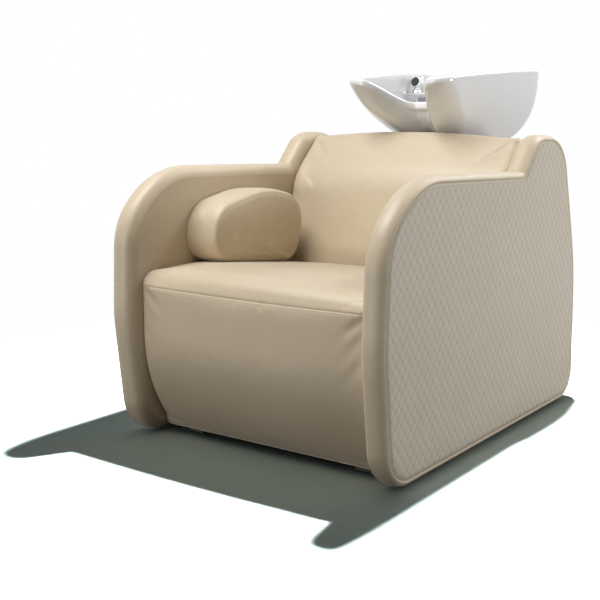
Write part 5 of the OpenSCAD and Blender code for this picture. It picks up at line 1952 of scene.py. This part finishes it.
@dataclass
class Hose:
    """A hose along a fixed route.

    Attributes:
        name: The piece's name.
        node: The CAD node that it stands for.
        route: Points that it runs through.
        diameter: Its outer diameter.
        kind: How it is made.
        rib: Distance between two ribs of a ribbed hose.
        rib_depth: Depth of its ribs.
        sides: Points round it.
    """

    name: str
    node: str
    route: tuple[Corner, ...]
    diameter: float
    kind: HoseKind
    rib: float = 3.5
    rib_depth: float = 0.5
    sides: int = 20

    def line(self) -> Array:
        """The hose's middle line, with points close together."""
        smooth_line = curved(np.array(self.route, float), steps_of(len(self.route), 1 / 12))
        reach = reach_along(smooth_line)
        step = self.rib / 5 if self.kind is HoseKind.RIBBED else 2.5
        return read_at(smooth_line, reach, np.linspace(0, reach[-1], round(reach[-1] / step)))

    def build(self) -> tuple[Piece, Array]:
        """Makes the hose.

        Returns:
            The piece, and its middle line in the shared frame.
        """
        line = self.line()
        reach = reach_along(line)
        tangent = np.gradient(line, axis=0)
        tangent /= np.linalg.norm(tangent, axis=1, keepdims=True)
        across = np.array([0.02, 1.0, 0.03])
        frames = []
        for direction in tangent:
            across = unit(across - direction * (across @ direction))
            frames.append((across, np.cross(direction, across)))
        radius = np.full(len(line), self.diameter / 2)
        if self.kind is HoseKind.RIBBED:
            radius -= self.rib_depth * (0.5 - 0.5 * np.cos(math.tau * reach / self.rib))
        angles = math.tau * np.arange(self.sides) / self.sides
        rings = np.array([
            point + r * (np.cos(angles)[:, None] * u + np.sin(angles)[:, None] * v)
            for point, r, (u, v) in zip(line, radius, frames)
        ])
        piece = Skin(rings).build(self.name)
        self._map(piece, reach)
        turn_outwards(piece)
        smooth_shaded(piece, 70)
        return piece, to_frame(line)

    def _map(self, piece: Piece, reach: Array) -> None:
        """Lays the map that a braid follows: once round the hose is 1, at the same scale along it."""
        layer = piece.data.uv_layers.new(name="along")
        round_length = math.pi * self.diameter
        for polygon in piece.data.polygons:
            corners = list(polygon.loop_indices)
            numbers = [piece.data.loops[c].vertex_index for c in corners]
            places = [n % self.sides for n in numbers]
            wraps = max(places) - min(places) > self.sides / 2
            for corner, number, place in zip(corners, numbers, places):
                around = (place + self.sides if wraps and place < self.sides / 2 else place) / self.sides
                layer.data[corner].uv = (around, reach[number // self.sides] / round_length)


def upright(x: float, y: float, *heights: float) -> list[Corner]:
    """Points of a route that lie over each other."""
    return [(x, y, z) for z in heights]


SHOWER_HOSE = Hose(
    name="shower_hose_steel",
    node="shower_hose",
    route=(
        *upright(-182, 1212, 905.7, 901, 897), (-178, 1211, 886), (-163, 1209, 866), (-144, 1208, 847),
        (-122, 1208, 830), (-103, 1207, 808), (-96, 1203, 778), (-92, 1186, 738), (-97, 1150, 690),
        (-106, 1108, 640), (-112, 1076, 590), *upright(-114, 1064, 545, 470), (-110, 1064, 390),
        (-88, 1064, 325), (-46, 1064, 292), (-8, 1064, 292), (28, 1064, 325), (44, 1064, 390),
        (46, 1064, 470), (48, 1064, 545), (54, 1078, 590), (62, 1112, 640), (70, 1156, 700),
        (75, 1186, 740), (78, 1204, 776), (78, 1208, 804), (80, 1222, 840),
        *upright(87, 1247, 876, 888, 899.7),
    ),
    diameter=12.0,
    kind=HoseKind.RIBBED,
)
HOT_HOSE = Hose(
    name="hot_hose_braid",
    node="hot_hose",
    route=(
        *upright(96, 1261, 899.7, 888, 876), (94, 1238, 850), (92, 1215, 822), (91.5, 1209, 800),
        (91.5, 1204, 775), (92, 1190, 742), (93, 1168, 690), (93, 1118, 635), (92, 1078, 585),
        *upright(92, 1064, 545, 470, 400, 320, 240, 180, 136),
    ),
    diameter=12.0,
    kind=HoseKind.BRAIDED,
)
COLD_HOSE = Hose(
    name="cold_hose_braid",
    node="cold_hose",
    route=(
        *upright(105, 1247, 899.7, 888, 876), (107, 1228, 850), (106, 1213, 823), (105, 1208, 802),
        (105.5, 1204, 775), (109, 1188, 740), (116, 1160, 700), (130, 1112, 640), (142, 1076, 588),
        (150, 1064, 545), *upright(152, 1064, 470, 400, 320, 240, 180, 136),
    ),
    diameter=12.0,
    kind=HoseKind.BRAIDED,
)
WASTE_HOSE = Hose(
    name="waste_hose_ribbed",
    node="waste_hose",
    route=(
        *upright(0, 1105, 696, 680), (0, 1096, 655), (0, 1071, 615), (0, 1034, 570), (0, 1022, 540),
        (0, 1008, 480), (0, 1001, 420), *upright(0, 1000, 370, 330, 284),
    ),
    diameter=40.0,
    kind=HoseKind.RIBBED,
    rib=6.0,
    rib_depth=1.4,
    sides=36,
)
SHOWER_HOSE_TOP = Hose(
    name="shower_hose_end",
    node="shower_hose_top",
    route=tuple(upright(-182, 1212, 906, 917, 928)),
    diameter=12.0,
    kind=HoseKind.RIBBED,
)


@dataclass(frozen=True)
class Plumbing:
    """The hoses, built along their fixed routes.

    Attributes:
        tilt_start: Meant as where a hose starts to follow the basin's tilt, in metres; not used.
        tilt_end: Meant as from where on it follows all of it; not used.
    """

    finishes: Finishes
    tilt_start: Corner = (0.0, 0.4, 0.60)
    tilt_end: Corner = (0.0, 0.4, 0.87)

    def build(self) -> None:
        """Builds and dresses every hose."""
        for hose, material, slot, pieces in (
            (SHOWER_HOSE, self.finishes.chrome, Slot.CHROME, [self.top_hose()]),
            (HOT_HOSE, self.finishes.braid, Slot.BRAID, []),
            (COLD_HOSE, self.finishes.braid, Slot.BRAID, []),
        ):
            piece, line = hose.build()
            dress(piece, material)
            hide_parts(hose.node)
            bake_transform(piece)
        piece, line = WASTE_HOSE.build()
        dress(piece, self.finishes.plastic)
        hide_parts(WASTE_HOSE.node)
        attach(piece, "chair")

    def top_hose(self) -> Piece:
        """The end of the shower's hose inside the basin, which is drawn out as the shower is lifted."""
        piece, _ = SHOWER_HOSE_TOP.build()
        dress(piece, self.finishes.chrome)
        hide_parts(SHOWER_HOSE_TOP.node)
        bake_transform(piece)
        return piece


# Hard parts


@dataclass(frozen=True)
class EdgedPart:
    """A hard CAD part that gets real rounded edges.

    Attributes:
        node: The CAD node.
        body: The body that it rides on.
        edge: Radius of its edges.
        angle: Least angle of an edge that is rounded, in degrees.
    """

    node: str
    body: str
    edge: float
    angle: float = 35.0

    def build(self, frame: dict, material: Material, slot: Slot) -> Piece:
        """Copies the node's mesh, merges it, rounds its edges and puts it in the node's place.

        Args:
            frame: The loaded frame.
            material: The part's material.
            slot: Not used.

        Returns:
            The piece.
        """
        source = frame["nodes"][self.node]
        piece = bpy.data.objects.new(f"{self.node}_edged", source.data.copy())
        bpy.context.scene.collection.objects.link(piece)
        with edited(piece):
            bpy.ops.mesh.remove_doubles(threshold=1e-6)
            bpy.ops.mesh.dissolve_limited(angle_limit=math.radians(0.4))
        bevel = piece.modifiers.new("edges", "BEVEL")
        bevel.limit_method = "ANGLE"
        bevel.angle_limit = math.radians(self.angle)
        bevel.width = self.edge * MM
        bevel.segments = 2
        bevel.use_clamp_overlap = True
        apply_modifiers(piece)
        smooth_shaded(piece, 50)
        flats = piece.modifiers.new("flats", "WEIGHTED_NORMAL")  # keeps large faces even in the light
        flats.keep_sharp = True
        apply_modifiers(piece)
        dress(piece, material)
        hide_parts(self.node)
        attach(piece, self.body)
        return piece


@dataclass(frozen=True)
class Hardware:
    """The parts that keep the shape of their CAD nodes."""

    frame: dict
    finishes: Finishes

    def build(self) -> None:
        """Edges and dresses each hard part, and dresses the nodes that stay as they are."""
        finishes = self.finishes
        groups: list[tuple[Material, Slot, list[tuple[str, str, float]]]] = [
            (finishes.chrome, Slot.CHROME, [
                ("waste_body", "basin_unit", 0.4), ("waste_strainer", "strainer", 0.3),
                ("mixer_body", "basin_unit", 0.5), ("mixer_cap", "mixer_head", 0.5),
                ("mixer_lever", "mixer_handle", 0.9), ("shower_collar", "basin_unit", 0.4),
                ("hand_shower", "shower", 0.5),
            ]),
            (finishes.rubber, Slot.RUBBER, [
                ("shower_face", "shower", 0.25), ("waste_boot", "chair", 0.6),
                ("floor_glides", "chair", 0.8), ("cradle_pad", "basin_unit", 0.5),
            ]),
            (finishes.plastic, Slot.PLASTIC, [("waste_trap", "chair", 0.8)]),
            (finishes.zinc, Slot.ZINC, [
                ("waste_nut", "basin_unit", 0.8), ("mixer_nut", "basin_unit", 0.8),
                ("basin_cradle", "basin_unit", 0.6), ("tilt_bolts", "chair", 0.8),
                ("bracket_bolts", "chair", 0.8), ("trap_clip", "chair", 0.5),
                ("inlet_plate", "chair", 0.5), ("water_inlets", "chair", 0.5),
                ("service_screws", "chair", 0.3), ("back_bolts", "chair", 0.5),
            ]),
            (finishes.steel, Slot.STEEL, [
                ("frame_rails", "chair", 1.0), ("basin_columns", "chair", 1.0),
                ("basin_bracket", "chair", 0.8), ("back_struts", "chair", 1.0),
            ]),
            (finishes.vinyl, Slot.VINYL, [("service_panel", "chair", 2.5), ("back_cover", "chair", 1.6)]),
            (finishes.board_flat, Slot.PLYWOOD, [("rear_shelf", "chair", 1.0)]),
        ]
        for material, slot, parts in groups:
            for node, body, edge in parts:
                EdgedPart(node, body, edge).build(self.frame, material, slot)
                LOG.info("%s edged", node)
        self.dress_rest()

    def dress_rest(self) -> None:
        """Gives the nodes that nothing stands for their materials."""
        finishes = self.finishes
        hidden = (
            (finishes.steel, ("cross_tubes", "lever_pin")),
            (finishes.board_flat, ("seat_box", "seat_board")),
            (finishes.board_back, ("back_board",)),
            (finishes.board_side, [
                f"{part}_board_{side.word}" for part in ("side", "arm") for side in Side
            ]),
            (finishes.zinc, ("side_bolts", "arm_screws", "tilt_nuts", "shower_nut")),
            (finishes.rubber, ("tilt_washers", "waste_gasket")),
        )
        material_of = {name: material for material, names in hidden for name in names}
        for name, node in self.frame["nodes"].items():
            if name in material_of:
                dress(node, material_of[name])
            elif not node.hide_render:
                raise ValueError(f"node {name} has no finish")


# The studio


@dataclass(frozen=True)
class Lamp:
    """A square lamp that faces a point of the unit.

    Attributes:
        name: The lamp's name.
        place: Its place in metres.
        size: Its side in metres.
        power: Its power in watts.
        aim: The point that it faces, in metres.
    """

    name: str
    place: Corner
    size: float
    power: float
    aim: Corner = (0.0, -0.1, 0.5)

    def build(self, lit: bpy.types.Collection) -> None:
        """Hangs the lamp.

        Args:
            lit: The collection that says which pieces it lights.
        """
        light = bpy.data.lights.new(self.name, "AREA")
        light.size = self.size
        light.energy = self.power
        lamp = bpy.data.objects.new(self.name, light)
        lamp.location = self.place
        way = Vector(self.aim) - Vector(self.place)
        lamp.rotation_euler = way.to_track_quat("-Z", "Y").to_euler()
        bpy.context.scene.collection.objects.link(lamp)
        lamp.light_linking.receiver_collection = lit


@dataclass
class Studio:
    """A white floor, a camera at the photograph's angle and wide lamps above and around.

    The shadow on the floor comes from a small high lamp behind the unit, which lights the floor
    alone. The other lamps light the unit alone.

    Attributes:
        turn: The camera's turn round the upright, in degrees.
        pitch: How far it looks down, in degrees.
        floor_tone: The floor's colour as the camera sees it.
        floor_bounce: The floor's colour for the light that it throws back at the unit.
        fade: Where the floor starts to fade to white and where it ends, in metres.
        room_light: Strength of the light from all around.
    """

    camera_place: Corner = (1.6045, -2.6124, 0.892)
    turn: float = 35.77
    pitch: float = 10.253
    lens: float = 62.53
    floor_tone: Colour = (0.79, 0.97, 0.93)
    floor_bounce: Colour = (0.07, 0.07, 0.07)
    fade: tuple[float, float] = (1.15, 1.75)
    room_light: float = 0.085
    shadow_lamp: Lamp = Lamp("shadow_lamp", (0.20, 0.55, 3.0), 0.12, 410.0, (0.0, -0.2, 0.0))
    lamps: tuple[Lamp, ...] = (
        Lamp("overhead_panel", (-0.6, -1.1, 3.1), 1.6, 84.0),
        Lamp("rear_panel", (0.9, 2.0, 2.7), 0.9, 34.0),
        Lamp("right_panel", (3.1, 0.9, 0.9), 1.1, 46.0),
        Lamp("front_panel", (-0.9, -3.4, 0.45), 1.4, 30.0),
    )

    def build(self) -> None:
        """Builds the camera, the floor, the world and the lamps."""
        self.camera()
        floor = self.floor()
        self.world()
        floor_only = bpy.data.collections.new("lit_by_shadow_lamp")
        floor_only.objects.link(floor)
        self.shadow_lamp.build(floor_only)
        not_floor = bpy.data.collections.new("unlit_by_panels")
        not_floor.objects.link(floor)
        not_floor.collection_objects[0].light_linking.link_state = "EXCLUDE"
        for lamp in self.lamps:
            lamp.build(not_floor)
        bpy.context.scene.view_settings.view_transform = "Standard"

    def camera(self) -> None:
        """Sets up the camera that sees what the photograph shows."""
        data = bpy.data.cameras.new("photo_camera")
        data.lens = self.lens
        data.sensor_width = 36.0
        camera = bpy.data.objects.new("photo_camera", data)
        camera.location = self.camera_place
        camera.rotation_euler = (math.radians(90 - self.pitch), 0.0, math.radians(self.turn))
        bpy.context.scene.collection.objects.link(camera)
        bpy.context.scene.camera = camera

    def floor(self) -> Piece:
        """Lays the floor, which keeps the unit's shadow and fades to white around it.

        Returns:
            The floor.
        """
        deselect_all()
        bpy.ops.mesh.primitive_plane_add(size=60.0)
        floor = bpy.context.object
        floor.name = "studio_floor"
        material = bpy.data.materials.new("pale_floor")
        material.use_nodes = True
        board = NodeBoard(material.node_tree)
        shader = material.node_tree.nodes["Principled BSDF"]
        shader.inputs["Roughness"].default_value = 0.9
        shader.inputs["Specular IOR Level"].default_value = 0.0
        white = board.add("ShaderNodeEmission")
        place = board.add("ShaderNodeTexCoord")
        away = board.add("ShaderNodeVectorMath", operation="LENGTH")
        board.join(place.outputs["Object"], away.inputs[0])
        far = board.window(away.outputs["Value"], *self.fade, interpolation_type="SMOOTHSTEP")
        rays = board.add("ShaderNodeLightPath")
        tone = board.blend(rays.outputs["Is Camera Ray"], self.floor_bounce, self.floor_tone)
        board.join(tone, shader.inputs["Base Color"])
        both = board.add("ShaderNodeMixShader")
        board.join(board.math("MULTIPLY", far, board.backdrop_rays()), both.inputs["Fac"])
        board.join(shader.outputs["BSDF"], both.inputs[1])
        board.join(white.outputs["Emission"], both.inputs[2])
        board.join(both.outputs["Shader"], material.node_tree.nodes["Material Output"].inputs["Surface"])
        floor.data.materials.append(material)
        floor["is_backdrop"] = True
        return floor

    def world(self) -> None:
        """A dim room that camera, glossy and transmission rays see as white."""
        world = bpy.data.worlds.new("studio_world")
        bpy.context.scene.world = world
        world.use_nodes = True
        board = NodeBoard(world.node_tree)
        background = world.node_tree.nodes["Background"]
        background.inputs["Color"].default_value = (1.0, 1.0, 1.0, 1.0)
        strength = board.span(board.backdrop_rays(), self.room_light, 1.0)
        board.join(strength, background.inputs["Strength"])


def build_upholstery(finishes: Finishes) -> None:
    """Builds every soft piece of the armchair.

    Args:
        finishes: The unit's finishes.
    """
    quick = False
    for side in Side:
        panel = SidePanel(side, finishes)
        for piece in (panel.band(), panel.quilt(), panel.stitches()):
            LOG.info("%s has %d faces", piece.name, len(piece.data.polygons))
    cover, rows = SeatSeam().sew(SEAT.skin(quick))
    LOG.info("%s has %d faces", SEAT.name, len(SEAT.finish(cover, finishes).data.polygons))
    thread = stitch_piece("seat_stitches", rows)
    dress(thread, finishes.thread)
    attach(thread, "chair")
    back = BACK.skin(quick).halved()
    wave = swollen(back.points, BACK_SWELLS) * back_shows(back.points[0, :, 1:])[None, :]
    back = back.raised(wave * smooth((355 - np.abs(back.points[..., 0])) / 30))
    LOG.info("%s has %d faces", BACK.name, len(BACK.finish(back, finishes).data.polygons))
    pad_cover = ArmPad(Side.RIGHT, finishes).cover(quick)
    for side in Side:
        pad = ArmPad(side, finishes).build(pad_cover)
        LOG.info("%s has %d faces", pad.name, len(pad.data.polygons))


def main() -> tuple[Vector, Vector]:
    """Builds the whole scene.

    Returns:
        The CAD model's lowest and highest corner.
    """
    logging.basicConfig(level=logging.INFO, format="%(message)s")
    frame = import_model()
    cad_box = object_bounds()
    Studio().build()
    finishes = Finishes()
    Plumbing(finishes).build()
    Basin().build(finishes)
    LOG.info("basin built")
    build_upholstery(finishes)
    Hardware(frame, finishes).build()
    deselect_all()
    return cad_box


if __name__ == "__main__":
    cad_low, cad_high = main()
